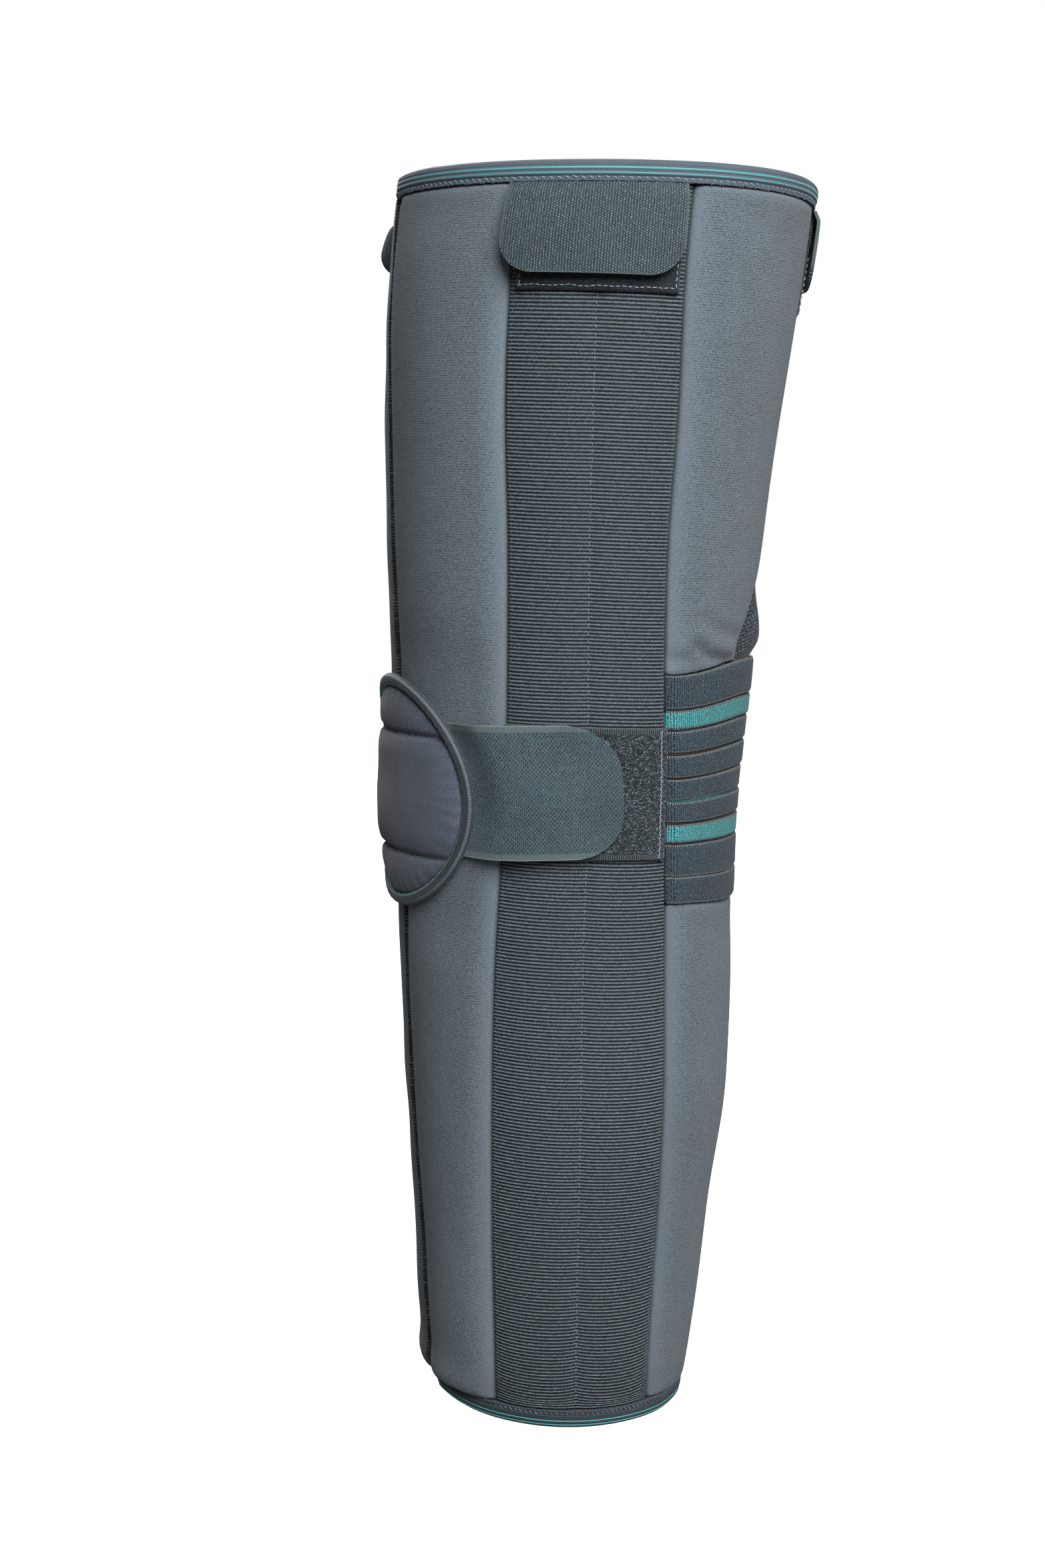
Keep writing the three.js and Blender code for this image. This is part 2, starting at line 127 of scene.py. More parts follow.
# Sections of the leg: height, radius, how far the middle bows forward, turn in degrees, and
# the width of the stay channels
LEG = np.array(
    [
        (0, 0.053, 0, 5.6, 0.0702),
        (0.024768, 0.057875, 0.001992, 5.6, 0.0702),
        (0.081786, 0.062694, 0.002075, 3.2, 0.07345),
        (0.13803, 0.0683, 0.002075, 1.4, 0.07475),
        (0.194016, 0.06995, 0.00498, 2.2, 0.0728),
        (0.258, 0.07175, 0.007802, 3.6, 0.0676),
        (0.30398, 0.074363, 0.007636, 1.6, 0.065),
        (0.35843, 0.077484, 0.0083, 0.4, 0.065),
        (0.412396, 0.080921, 0.007304, -1.2, 0.06955),
        (0.455472, 0.083946, 0.004316, -3.4, 0.0689),
        (0.5, 0.0855, 0, -4.6, 0.06825),
    ]
)
RADIUS, FORWARD, TURN, CHANNEL = 1, 2, 3, 4
INNER, PROUD_GAP = -0.0081, 0.00025
WRAP_BOTTOM, WRAP_TOP = 0.0085, 0.4915
ELASTIC_BOTTOM, ELASTIC_TOP = 0.2175, 0.3125
CHANNEL_AZIMUTH = 70.5
FREE_EDGE = -5
EDGE_ROLL, SEAM_SINK = 0.011, 0.0034
# The tongue's outer face, and the front panel's inner face where it lies over the tongue
TONGUE_FACE, LAP_INNER = -0.0063, -0.00585
SIDES = ((1, "lateral"), (-1, "medial"))
HALVES = (("thigh", ELASTIC_TOP + 0.0005, WRAP_TOP), ("calf", WRAP_BOTTOM, ELASTIC_BOTTOM - 0.0005))


def leg_value(key, height):
    """A column of the leg's table at heights, on a smooth curve through its sections."""
    rise, value = LEG[:, 0], LEG[:, key]
    steps = np.arange(len(rise))
    after, before = np.minimum(steps + 1, steps[-1]), np.maximum(steps - 1, 0)
    slope = (value[after] - value[before]) / (rise[after] - rise[before])
    low = np.clip(np.searchsorted(rise, height, side="right") - 1, 0, len(rise) - 2)
    span = rise[low + 1] - rise[low]
    t = (height - rise[low]) / span
    return (
        value[low] * (1 + 2 * t) * (1 - t) ** 2
        + value[low + 1] * t * t * (3 - 2 * t)
        + span * (slope[low] * t * (1 - t) ** 2 + slope[low + 1] * t * t * (t - 1))
    )


def rim_lift(azimuth, height):
    """The rims aren't quite level: the upper one rises at the back, the lower one in front."""
    turn = np.radians(azimuth) - 1.1
    top = 0.0027 + 0.0017 * np.sin(turn) - 0.0015 * np.cos(2 * turn)
    low = 0.0026 * np.maximum(np.cos(turn + 1.4), 0) ** 4
    return top * smooth(height, 0.42, 0.5) + low * (1 - smooth(height, 0, 0.05))


def on_leg(azimuth, height, offset):
    """Points at azimuths and heights, a distance outside the wrap's nominal face."""
    turned = np.radians(azimuth + leg_value(TURN, height))
    reach = leg_value(RADIUS, height) + offset
    forward = leg_value(FORWARD, height)
    rise = height + rim_lift(azimuth, height)
    return np.column_stack((reach * np.sin(turned), -reach * np.cos(turned) - forward, rise))


def degrees_of(length, height):
    return np.degrees(length / leg_value(RADIUS, height))


def length_of(degrees, height):
    return np.radians(degrees) * leg_value(RADIUS, height)


def smooth(value, low, high):
    t = np.clip((value - low) / (high - low), 0, 1)
    return t * t * (3 - 2 * t)


def uneven(across, up, step, seed):
    """Soft unevenness from about -1 to 1, with bumps about a step wide."""
    draw = np.random.default_rng(seed)
    total = np.zeros_like(across)
    for _ in range(10):
        way, phase = draw.uniform(0, 2 * np.pi, 2)
        wave = np.pi / (step * draw.uniform(0.7, 1.6))
        total += np.sin(wave * (across * np.cos(way) + up * np.sin(way)) + phase)
    return total / 5


def channel_edge(side, way):
    return lambda z: side * CHANNEL_AZIMUTH + way * degrees_of(leg_value(CHANNEL, z) / 2, z)


def back_edge(height):
    """How far the dark strip down the back reaches to each side, wider above the elastic."""
    above = height - ELASTIC_TOP
    return 25 + 25 * np.where(above < 0, 0, 1 - smooth(above, 0, 0.058))


def tongue_end(height):
    return FREE_EDGE + 0.42 * (channel_edge(1, -1)(height) - FREE_EDGE)


def elastic_edge(near, way):
    """Height of the elastic's upper or lower edge, at a distance from a channel."""
    fan = smooth(near, 0.0, 0.05)
    return 0.2653 + 0.002 * fan + way * (0.04515 + 0.00405 * fan)


def slab(name, columns, rows):
    """A closed slab of cloth, with its corners' column, row and face (outer or inner)."""
    deselect_all()
    bpy.ops.mesh.primitive_grid_add(
        x_subdivisions=len(columns) - 1, y_subdivisions=len(rows) - 1, size=1
    )
    piece = bpy.context.object
    piece.name = piece.data.name = name
    wall = piece.modifiers.new("wall", "SOLIDIFY")
    wall.thickness = 1
    bpy.ops.object.modifier_apply(modifier=wall.name)
    at = np.empty(3 * len(piece.data.vertices), np.float32)
    piece.data.vertices.foreach_get("co", at)
    x, y, z = at.reshape(-1, 3).T
    column = np.rint((x + 0.5) * (len(columns) - 1)).astype(int)
    row = np.rint((y + 0.5) * (len(rows) - 1)).astype(int)
    return piece, np.asarray(columns)[column], np.asarray(rows)[row], z > -0.5


def lay(piece, places, across, up, inset, sharp=50):
    """Puts a piece's corners in place. Its cloth attribute is across, up and in from an edge."""
    piece.data.vertices.foreach_set("co", places.astype(np.float32).ravel())
    cloth = piece.data.attributes.new("cloth", "FLOAT_VECTOR", "POINT")
    cloth.data.foreach_set("vector", np.column_stack((across, up, inset)).astype(np.float32).ravel())
    piece.data.update()
    deselect_all()
    piece.select_set(True)
    bpy.context.view_layer.objects.active = piece
    bpy.ops.object.shade_smooth_by_angle(angle=math.radians(sharp))


def finish(piece, slot, *materials, nodes=()):
    for material in materials:
        piece.data.materials.append(material)
    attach(piece, "root")
    if nodes:
        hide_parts(*nodes)


def stations(length, edge, fine, coarse):
    """Shares along a length, close together near both ends."""
    ends = np.linspace(0, edge, max(2, round(edge / fine) + 1))
    middle = np.linspace(edge, length - edge, max(2, round((length - 2 * edge) / coarse) + 1))
    return np.concatenate((ends, middle[1:-1], length - ends[::-1])) / length


# Colours as sRGB numbers
def colour(number):
    parts = [((number >> shift) & 255) / 255 for shift in (16, 8, 0)]
    return (*(c / 12.92 if c <= 0.04045 else ((c + 0.055) / 1.055) ** 2.4 for c in parts), 1)


def fill(tree, made, sockets):
    """Links a node's inputs to sockets, or sets them to values."""
    for key, value in sockets.items():
        if isinstance(value, bpy.types.NodeSocket):
            tree.links.new(value, made.inputs[key])
        else:
            made.inputs[key].default_value = value
    return made


def node(tree, kind, settings=None, sockets=None):
    made = tree.nodes.new("ShaderNode" + kind)
    for key, value in (settings or {}).items():
        setattr(made, key, value)
    return fill(tree, made, sockets or {})


def maths(tree, operation, *values, clamp=False):
    settings = {"operation": operation, "use_clamp": clamp}
    return node(tree, "Math", settings, dict(enumerate(values))).outputs[0]


def step_up(tree, value, low, high):
    """0 below low, 1 above high, smooth between."""
    sockets = {"Value": value, "From Min": low, "From Max": high}
    return node(tree, "MapRange", {"interpolation_type": "SMOOTHSTEP"}, sockets).outputs[0]


def blend(tree, share, first, second):
    """Mixes two colours, each a socket or an sRGB number."""
    first, second = (colour(v) if isinstance(v, int) else v for v in (first, second))
    made = node(tree, "Mix", {"data_type": "RGBA"}, {"Factor": share, 6: first, 7: second})
    return made.outputs[2]


def noise(tree, place, scale, detail=2.0, rough=0.5):
    sockets = {"Vector": place, "Scale": scale, "Detail": detail, "Roughness": rough}
    return node(tree, "TexNoise", None, sockets).outputs["Fac"]


def component(tree, vector, number):
    return node(tree, "SeparateXYZ", None, {0: vector}).outputs[number]


def stretched(tree, place, across, up):
    """The cloth's own coordinates counted in cells of a size across and up."""
    sockets = {0: place, 1: (1 / across, 1 / up, 1)}
    return node(tree, "VectorMath", {"operation": "MULTIPLY"}, sockets).outputs[0]


def fabric(name, roughness, sheen):
    """A cloth material's tree, its shader, and the cloth's own coordinates."""
    made = bpy.data.materials.new(name)
    made.use_nodes = True
    tree = made.node_tree
    shader = tree.nodes["Principled BSDF"]
    fill(tree, shader, {"Roughness": roughness, "Specular IOR Level": 0.25, "Sheen Weight": sheen})
    place = node(tree, "Attribute", {"attribute_name": "cloth"}).outputs["Vector"]
    return made, tree, shader, place


def paint(tree, shader, dyed, height=None, depth=0):
    """Gives a cloth its colour, and a relief so deep where there is a height."""
    tree.links.new(dyed, shader.inputs["Base Color"])
    if height is not None:
        bump = node(tree, "Bump", None, {"Height": height, "Distance": depth, "Strength": 1.0})
        tree.links.new(bump.outputs[0], shader.inputs["Normal"])


def empty_group(name, numbers, results):
    """A node group that takes the cloth's coordinates and numbers, with its inner ends."""
    made = bpy.data.node_groups.new(name, "ShaderNodeTree")
    made.interface.new_socket("Cloth", in_out="INPUT", socket_type="NodeSocketVector")
    for way, labels in (("INPUT", numbers), ("OUTPUT", results)):
        for label in labels:
            made.interface.new_socket(label, in_out=way, socket_type="NodeSocketFloat")
    return made, made.nodes.new("NodeGroupInput").outputs, made.nodes.new("NodeGroupOutput").inputs


# Mottle is uneven dye and wear over a hand's breadth; fibre is the fuzz of single hairs
mottling, group_in, group_out = empty_group("mottling", (), ("Mottle", "Fibre"))
mottling.links.new(noise(mottling, group_in[0], 55, 4, 0.6), group_out["Mottle"])
hairs = stretched(mottling, group_in[0], 0.0011, 0.0006)
mottling.links.new(noise(mottling, hairs, 1.0, 3, 0.7), group_out["Fibre"])

# Cells of a weave or knit, one yarn float or one hole in each, in columns that may be
# staggered. Dot is 1 in the middle of a cell, Row is 0 halfway up it and 1 at its ends, and
# Chance is one random number for each cell.
cells, group_in, group_out = empty_group(
    "weave cells", ("Across", "Up", "Stagger", "Wide", "Tall", "Wander"), ("Dot", "Row", "Chance")
)
split = node(cells, "SeparateXYZ", None, {0: group_in["Cloth"]}).outputs
drift = maths(cells, "SUBTRACT", noise(cells, group_in["Cloth"], 900, 1), 0.5)
drift = maths(cells, "MULTIPLY", drift, group_in["Wander"])
column = maths(cells, "ADD", maths(cells, "DIVIDE", split[0], group_in["Across"]), drift)
up = maths(cells, "ADD", maths(cells, "DIVIDE", split[1], group_in["Up"]), drift)
up = maths(cells, "MULTIPLY_ADD", maths(cells, "FLOOR", column), group_in["Stagger"], up)
beside = maths(cells, "ABSOLUTE", maths(cells, "SUBTRACT", maths(cells, "FRACT", column), 0.5))
above = maths(cells, "ABSOLUTE", maths(cells, "SUBTRACT", maths(cells, "FRACT", up), 0.5))
wide = maths(cells, "POWER", maths(cells, "DIVIDE", beside, group_in["Wide"]), 2.0)
tall = maths(cells, "POWER", maths(cells, "DIVIDE", above, group_in["Tall"]), 2.0)
spread = maths(cells, "SQRT", maths(cells, "ADD", wide, tall))
dot = maths(cells, "SUBTRACT", 1.0, step_up(cells, spread, 0.3, 0.7))
cells.links.new(dot, group_out["Dot"])
cells.links.new(maths(cells, "MULTIPLY", above, 2.0), group_out["Row"])
number = {0: maths(cells, "FLOOR", column), 1: maths(cells, "FLOOR", up)}
number = node(cells, "CombineXYZ", None, number).outputs[0]
chance = node(cells, "TexWhiteNoise", {"noise_dimensions": "2D"}, {"Vector": number})
cells.links.new(chance.outputs["Value"], group_out["Chance"])


def aged(tree, place):
    return node(tree, "Group", {"node_tree": mottling}, {"Cloth": place}).outputs


def woven(tree, place, across, up, stagger=0.5, wide=0.6, tall=0.6, wander=0.1):
    """Weave cells: size across and up, shift from column to column, the dot's share of a cell
    each way, and how far the yarns stray."""
    sizes = {"Across": across, "Up": up, "Stagger": stagger, "Wide": wide, "Tall": tall}
    sizes.update(Wander=wander, Cloth=place)
    return node(tree, "Group", {"node_tree": cells}, sizes).outputs


brushed_knit, tree, shader, place = fabric("brushed knit", 0.95, 0.12)
worn = aged(tree, place)
dashes = woven(tree, place, 1.0, 0.00095, stagger=0.0, wide=3.0, tall=0.4, wander=0.25)
edge = component(tree, place, 2)
fuzz = noise(tree, place, 2300, 3, 0.7)
breaks = noise(tree, stretched(tree, place, 0.0009, 0.00062), 1.0, 1, 0.5)
chosen = maths(tree, "MULTIPLY", step_up(tree, breaks, 0.44, 0.62), step_up(tree, fuzz, 0.25, 0.55))
shown = maths(tree, "MULTIPLY", chosen, step_up(tree, edge, 0.001, 0.007))
dark = maths(tree, "MULTIPLY", dashes["Dot"], shown)
dyed = blend(tree, step_up(tree, worn["Mottle"], 0.25, 0.75), 0x4C555B, 0x566067)
# Painted highlight: the knit is lighter within about 13 mm of every rolled edge, as if the rolled edge
# faced the light.
dyed = blend(tree, maths(tree, "MULTIPLY", step_up(tree, edge, 0.013, 0.002), 0.6), dyed, 0x67727B)
dyed = blend(tree, step_up(tree, worn["Fibre"], 0.35, 0.8), dyed, 0x74808A)
dyed = blend(tree, maths(tree, "MULTIPLY", step_up(tree, fuzz, 0.48, 0.72), 0.6), dyed, 0x8A969F)
dyed = blend(tree, maths(tree, "MULTIPLY", dark, 0.62), dyed, 0x23292E)
# Painted shade: the last 1.4 mm of the knit before its edge is painted dark, where it rolls down into the
# seam.
dyed = blend(tree, step_up(tree, edge, -0.0004, 0.0014), 0x23292E, dyed)
paint(tree, shader, dyed, maths(tree, "MULTIPLY_ADD", dark, -0.5, fuzz), 0.0003)

lining_knit, tree, shader, place = fabric("lining knit", 0.95, 0.15)
worn = aged(tree, place)
loops = woven(tree, place, 0.0014, 0.001)
dyed = blend(tree, worn["Mottle"], 0x2B2F33, 0x363B40)
dyed = blend(tree, maths(tree, "MULTIPLY", loops["Dot"], 0.35), dyed, 0x4A5056)
paint(tree, shader, dyed, loops["Dot"], 0.0002)


def rolled(across, up, width, tall, corners):
    """Distance in from the rolled edge of a panel with rounded corners, and how far it sinks.

    corners are the radii at the bottom start, bottom end, top start and top end. The upper and
    lower edges roll down more steeply than the sides, but less deep."""
    late, high = across > width / 2, up > tall / 2
    radius = np.select([high & late, high, late], [corners[3], corners[2], corners[1]], corners[0])
    beside, above = np.minimum(across, width - across), 2.5 * np.minimum(up, tall - up)
    inside = np.minimum(beside, above)
    round_part = (beside < radius) & (above < radius)
    round_in = radius - np.hypot(radius - beside, radius - above)
    inside = np.where(round_part, round_in, inside)
    share = np.clip(1 - inside / EDGE_ROLL, 0, 1)
    side = smooth(above - beside, -0.006, 0.004)
    return inside, (1 - np.sqrt(1 - share**2)) * (0.3 + 0.7 * side)


def dent(across, up, points, wide, deep):
    """A fold along a line of points: a valley with a low bulge above it."""
    total = np.zeros_like(across)
    for (ax, ay), (bx, by) in zip(points, points[1:]):
        way = np.array((bx - ax, by - ay))
        length = np.hypot(*way)
        along = ((across - ax) * way[0] + (up - ay) * way[1]) / length**2
        off = ((across - ax) * -way[1] + (up - ay) * way[0]) / length
        ends = np.exp(-(np.maximum(np.abs(along - 0.5) - 0.5, 0) * length / wide) ** 2)
        fold = np.exp(-((off / wide) ** 2)) - 0.55 * np.exp(-(((off - 1.7 * wide) / (1.3 * wide)) ** 2))
        total = np.where(np.abs(fold * ends) > np.abs(total), fold * ends, total)
    return -deep * total


def low_puff(azimuth, height):
    """The front bulges just above the lower binding."""
    front = smooth(azimuth, -38, -26) * (1 - smooth(azimuth, 5, 38))
    end = smooth(height - WRAP_BOTTOM, -0.0025, 0.0025)
    return 0.0032 * front * end * np.exp(-(((height - 0.0115) / 0.0085) ** 2))


def foam_panel(name, start, end, bottom, top, corners, seed, puff, folds=(), lapped=False):
    """A panel between two edges, given as azimuths at a height. It is crowned by its puff, and
    thinner inside where it laps over the tongue. Its end at the elastic follows that edge."""
    middle = (bottom + top) / 2
    width = length_of(end(middle) - start(middle), middle)
    meets = int(bottom > KNEE_HEIGHT) - int(top < KNEE_HEIGHT)
    columns = stations(width, 0.013, 0.0011, 0.0025)
    rows = stations(top - bottom, 0.012, 0.0011, 0.0024)
    piece, column, row, outer = slab(name.replace("panel", "foam"), columns, rows)
    height = bottom + row * (top - bottom)
    first = start(height) + degrees_of(PROUD_GAP, height)
    last = end(height) - degrees_of(PROUD_GAP, height)
    azimuth = first + column * (last - first)
    wide = length_of(last - first, height)
    across, up = column * wide, height - bottom
    inside, sunk = rolled(across, up, wide, top - bottom, corners)
    if meets:
        near = across if end(0.3) < 180 else wide - across
        away = row if meets > 0 else 1 - row
        seam = elastic_edge(near, meets) + meets * 0.0003
        height = height + (seam - (bottom if meets > 0 else top)) * (1 - smooth(away, 0, 0.12))
    offset = -SEAM_SINK * sunk + 0.00035 * uneven(across, up, 0.03, seed) * (1 - sunk)
    crown = puff * np.sin(np.pi * column) * smooth(np.abs(height - 0.262), 0.046, 0.075)
    offset = offset + crown * smooth(WRAP_TOP - height, 0, 0.03) + low_puff(azimuth, height)
    for points, deep in folds:
        offset += dent(across, up, points, 0.0026, deep) * (1 - sunk)
    under = INNER + (LAP_INNER - INNER) * (1 - smooth(column, 0.44, 0.54)) * lapped
    offset = np.where(outer, offset, under)
    lay(piece, on_leg(azimuth, height, offset), across, height, inside)
    finish(piece, "panel", brushed_knit, lining_knit, nodes=[name])
    return piece


foam_panel(
    "front_panel",
    lambda height: FREE_EDGE + 0 * height,
    channel_edge(1, -1),
    WRAP_BOTTOM,
    WRAP_TOP,
    (0.010, 0.003, 0.013, 0.004),
    1,
    0.0021,
    lapped=True,
)
# Folds in the thigh panels, just above the elastic: points from the channel's seam, and depth
SOFT_FOLDS = (
    ([(0.015, 0.0205), (0.026, 0.0155), (0.038, 0.012)], 0.0009),
    ([(0.014, 0.0095), (0.022, 0.0045), (0.034, 0.001)], 0.0015),
    ([(0.001, 0.0058), (0.010, 0.005)], 0.0009),
)
for name, bottom, top in HALVES:
    folds = SOFT_FOLDS if name == "thigh" else ()
    foam_panel(
        f"{name}_panel_lateral",
        channel_edge(1, 1),
        lambda height: 180 - back_edge(height),
        bottom,
        top,
        (0.003, 0.006, 0.003, 0.009),
        2,
        0.0012,
        folds,
    )
    broad = 0.0625
    turned = [([(broad - x, y) for x, y in reversed(points)], deep) for points, deep in folds]
    foam_panel(
        f"{name}_panel_medial",
        lambda height: 180 + back_edge(height),
        lambda height: 360 + channel_edge(-1, -1)(height),
        bottom,
        top,
        (0.006, 0.003, 0.009, 0.003),
        3,
        0.0012,
        turned,
    )


# Lining
# One dark knit sheet glued to the foam all round the inside.
lap_end = FREE_EDGE + 0.56 * (channel_edge(1, -1)(KNEE_HEIGHT) - FREE_EDGE)
rows = np.linspace(WRAP_BOTTOM, WRAP_TOP, 90)
piece, column, row, outer = slab("lining", np.linspace(0, 1, 97), rows)
azimuth = lap_end + column * (359 + tongue_end(row) - lap_end)
offset = np.where(outer, -0.0082, -0.0089)
lay(piece, on_leg(azimuth, row, offset), length_of(azimuth, row), row, 0 * row)
finish(piece, "knit", lining_knit)


# Dark knit
# Fine open stretch knit: the closure strip beside the free edge with its tongue, the strip
# down the back, which swells above the elastic, and the wall behind the knee.
stretch_knit, tree, shader, place = fabric("dark stretch knit", 0.9, 0.15)
worn = aged(tree, place)
loops = woven(tree, place, 0.0017, 0.0013, wide=0.7, tall=0.5, wander=1.3)
dyed = blend(tree, worn["Mottle"], 0x1A1F23, 0x272D32)
light = maths(tree, "MULTIPLY", loops["Dot"], maths(tree, "SUBTRACT", worn["Fibre"], 0.12))
dyed = blend(tree, light, dyed, 0x74828C)
paint(tree, shader, dyed, loops["Dot"], 0.0004)

shown = np.linspace(0, 1, 24)
tucked = np.linspace(1.05, 2, 12)
rows = np.linspace(WRAP_BOTTOM, WRAP_TOP, 200)
piece, column, height, outer = slab("closure_knit", np.concatenate((shown, tucked)), rows)
first = channel_edge(-1, 1)(height) + degrees_of(PROUD_GAP, height)
azimuth = np.where(
    column <= 1,
    first + column * (FREE_EDGE - 2 - first),
    FREE_EDGE - 1 + (column - 1.05) / 0.95 * (tongue_end(height) - FREE_EDGE + 1),
)
face = np.where(column <= 1, -0.0008, TONGUE_FACE)
across = length_of(azimuth - first, height)
face = face + (0.00025 * uneven(across, height, 0.02, 5) + low_puff(azimuth, height)) * (column <= 1)
lay(piece, on_leg(azimuth, height, np.where(outer, face, INNER)), across, height, across)
finish(piece, "knit", stretch_knit, nodes=["closure_strip"])

for name, bottom, top in HALVES:
    rows = bottom + stations(top - bottom, 0.01, 0.002, 0.0024) * (top - bottom)
    piece, column, height, outer = slab(f"back_knit_{name}", np.linspace(-1, 1, 61), rows)
    half = back_edge(height) - degrees_of(PROUD_GAP, height)
    azimuth = 180 + column * half
    across = length_of(column * half, height)
    to_edge = length_of(half, height) - np.abs(across)
    face = -0.0014 + 0.0003 * uneven(across, height, 0.025, 6)
    face = face - 0.0022 * (1 - smooth(to_edge, 0, 0.007))
    if name == "thigh":
        low = np.exp(-(((height - 0.325) / 0.017) ** 2)) * smooth(height, bottom, bottom + 0.012)
        sides = np.exp(-(((np.abs(across) - 0.047) / 0.016) ** 2))
        face = face + 0.0042 * low * sides * smooth(to_edge, 0, 0.012)
    lay(piece, on_leg(azimuth, height, np.where(outer, face, INNER)), across, height, 0 * across)
    finish(piece, "knit", stretch_knit, nodes=[f"back_strip_{name}"])


def round_back(column, share):
    """Places between the channels, round the back of the knee, at shares of the elastic's
    height: distance across, distance from the nearer channel, the elastic's height there, and
    the places' own height and azimuth."""
    whole = length_of(360 - 2 * channel_edge(1, 1)(KNEE_HEIGHT), KNEE_HEIGHT)
    across = column * whole
    near = np.minimum(across, whole - across)
    low, high = elastic_edge(near, -1), elastic_edge(near, 1)
    height = low + share * (high - low)
    first = channel_edge(1, 1)(height) + degrees_of(PROUD_GAP, height)
    return across, near, high - low, height, first + column * (360 - 2 * first)


piece, column, row, outer = slab("popliteal_knit", np.linspace(0, 1, 90), np.linspace(0, 1, 30))
across, _, _, height, azimuth = round_back(column, row)
lay(piece, on_leg(azimuth, height, np.where(outer, -0.0024, INNER)), across, height, 0 * across)
finish(piece, "knit", stretch_knit, nodes=["popliteal_panel"])


# Stay channels
# Grosgrain webbing with cords across it, sewn down along both edges and the middle, so that
# it makes two long pockets for the stays.
RIBS = 338
RIB = (WRAP_TOP - WRAP_BOTTOM) / RIBS
grosgrain, tree, shader, place = fabric("grosgrain webbing", 0.7, 0.1)
worn = aged(tree, place)
yarns = woven(tree, place, 0.00062, RIB, stagger=0.0, wide=0.62, tall=0.5, wander=0.4)
up = component(tree, place, 1)
# Painted light: the rib crowns are painted as pale highlights and the valleys between them near black as
# shade. In the lower part the crowns are narrower and lighter.
thin = maths(tree, "MULTIPLY_ADD", step_up(tree, up, 0.2, 0.02), 0.15, yarns["Row"])
crown = step_up(tree, maths(tree, "SUBTRACT", 1.0, thin), 0.26, 0.78)
bead = maths(tree, "MULTIPLY_ADD", yarns["Dot"], 0.5, 0.35)
bead = maths(tree, "MULTIPLY_ADD", yarns["Chance"], 0.25, bead, clamp=True)
crown_highlights = blend(tree, step_up(tree, up, 0.08, 0.24), 0x82929B, 0x74838C)
dyed = blend(tree, maths(tree, "MULTIPLY", crown, bead), 0x0F1417, crown_highlights)
dyed = blend(tree, maths(tree, "MULTIPLY", worn["Mottle"], 0.25), dyed, 0x2F3A41)
paint(tree, shader, dyed, yarns["Dot"], 0.0002)


def thread(name, dark, pale, sheen=0.1):
    made, tree, shader, place = fabric(name, 0.6, sheen)
    paint(tree, shader, blend(tree, aged(tree, place)["Fibre"], dark, pale))
    return made


seam_thread = thread("seam thread", 0x3B4856, 0x8FA0B2)
edge_thread = thread("dark seam thread", 0x1E262C, 0x5A6874)


def stitches(name, middles, ways, outs, length, thick):
    """Thread stitches: one is modelled, and repeated at each middle, along each way."""
    deselect_all()
    bpy.ops.mesh.primitive_uv_sphere_add(segments=6, ring_count=5, radius=0.5)
    piece = bpy.context.object
    piece.name = piece.data.name = name
    at = np.array([v.co for v in piece.data.vertices])
    faces = [tuple(p.vertices) for p in piece.data.polygons]
    ways = ways / np.linalg.norm(ways, axis=1, keepdims=True)
    outs = outs - (outs * ways).sum(1, keepdims=True) * ways
    outs = outs / np.linalg.norm(outs, axis=1, keepdims=True)
    sides = np.cross(outs, ways)
    long = np.broadcast_to(np.asarray(length, float), (len(middles),))[:, None, None]
    points = (
        middles[:, None]
        + long * at[None, :, 2:3] * ways[:, None]
        + thick * (at[None, :, 0:1] * sides[:, None] + at[None, :, 1:2] * outs[:, None])
    ).reshape(-1, 3)
    count = len(at)
    every = [tuple(i + k * count for i in face) for k in range(len(middles)) for face in faces]
    piece.data.clear_geometry()
    piece.data.from_pydata(points.tolist(), [], every)
    lay(piece, points, points[:, 0] + points[:, 1], points[:, 2], 0 * points[:, 2], 180)
    return piece


def outward(azimuth, height):
    """The way out of the leg's face."""
    return on_leg(azimuth, height, 0 * height + 0.01) - on_leg(azimuth, height, 0 * height)


def rib_warp(share, height):
    """The cords sag in each pocket and near the lower end, and dip at the middle seam."""
    in_pocket = np.sin(np.pi * ((2 * share) % 1)) ** 0.7
    low = 1 - smooth(height, WRAP_BOTTOM, WRAP_BOTTOM + 0.07)
    ends = smooth(height, WRAP_BOTTOM, WRAP_BOTTOM + 0.006) * smooth(WRAP_TOP - height, 0, 0.006)
    sway = 0.0004 * uneven(share * 0.06, height, 0.05, 8)
    return ends * (-(0.0002 + 0.0013 * low) * in_pocket + sway)


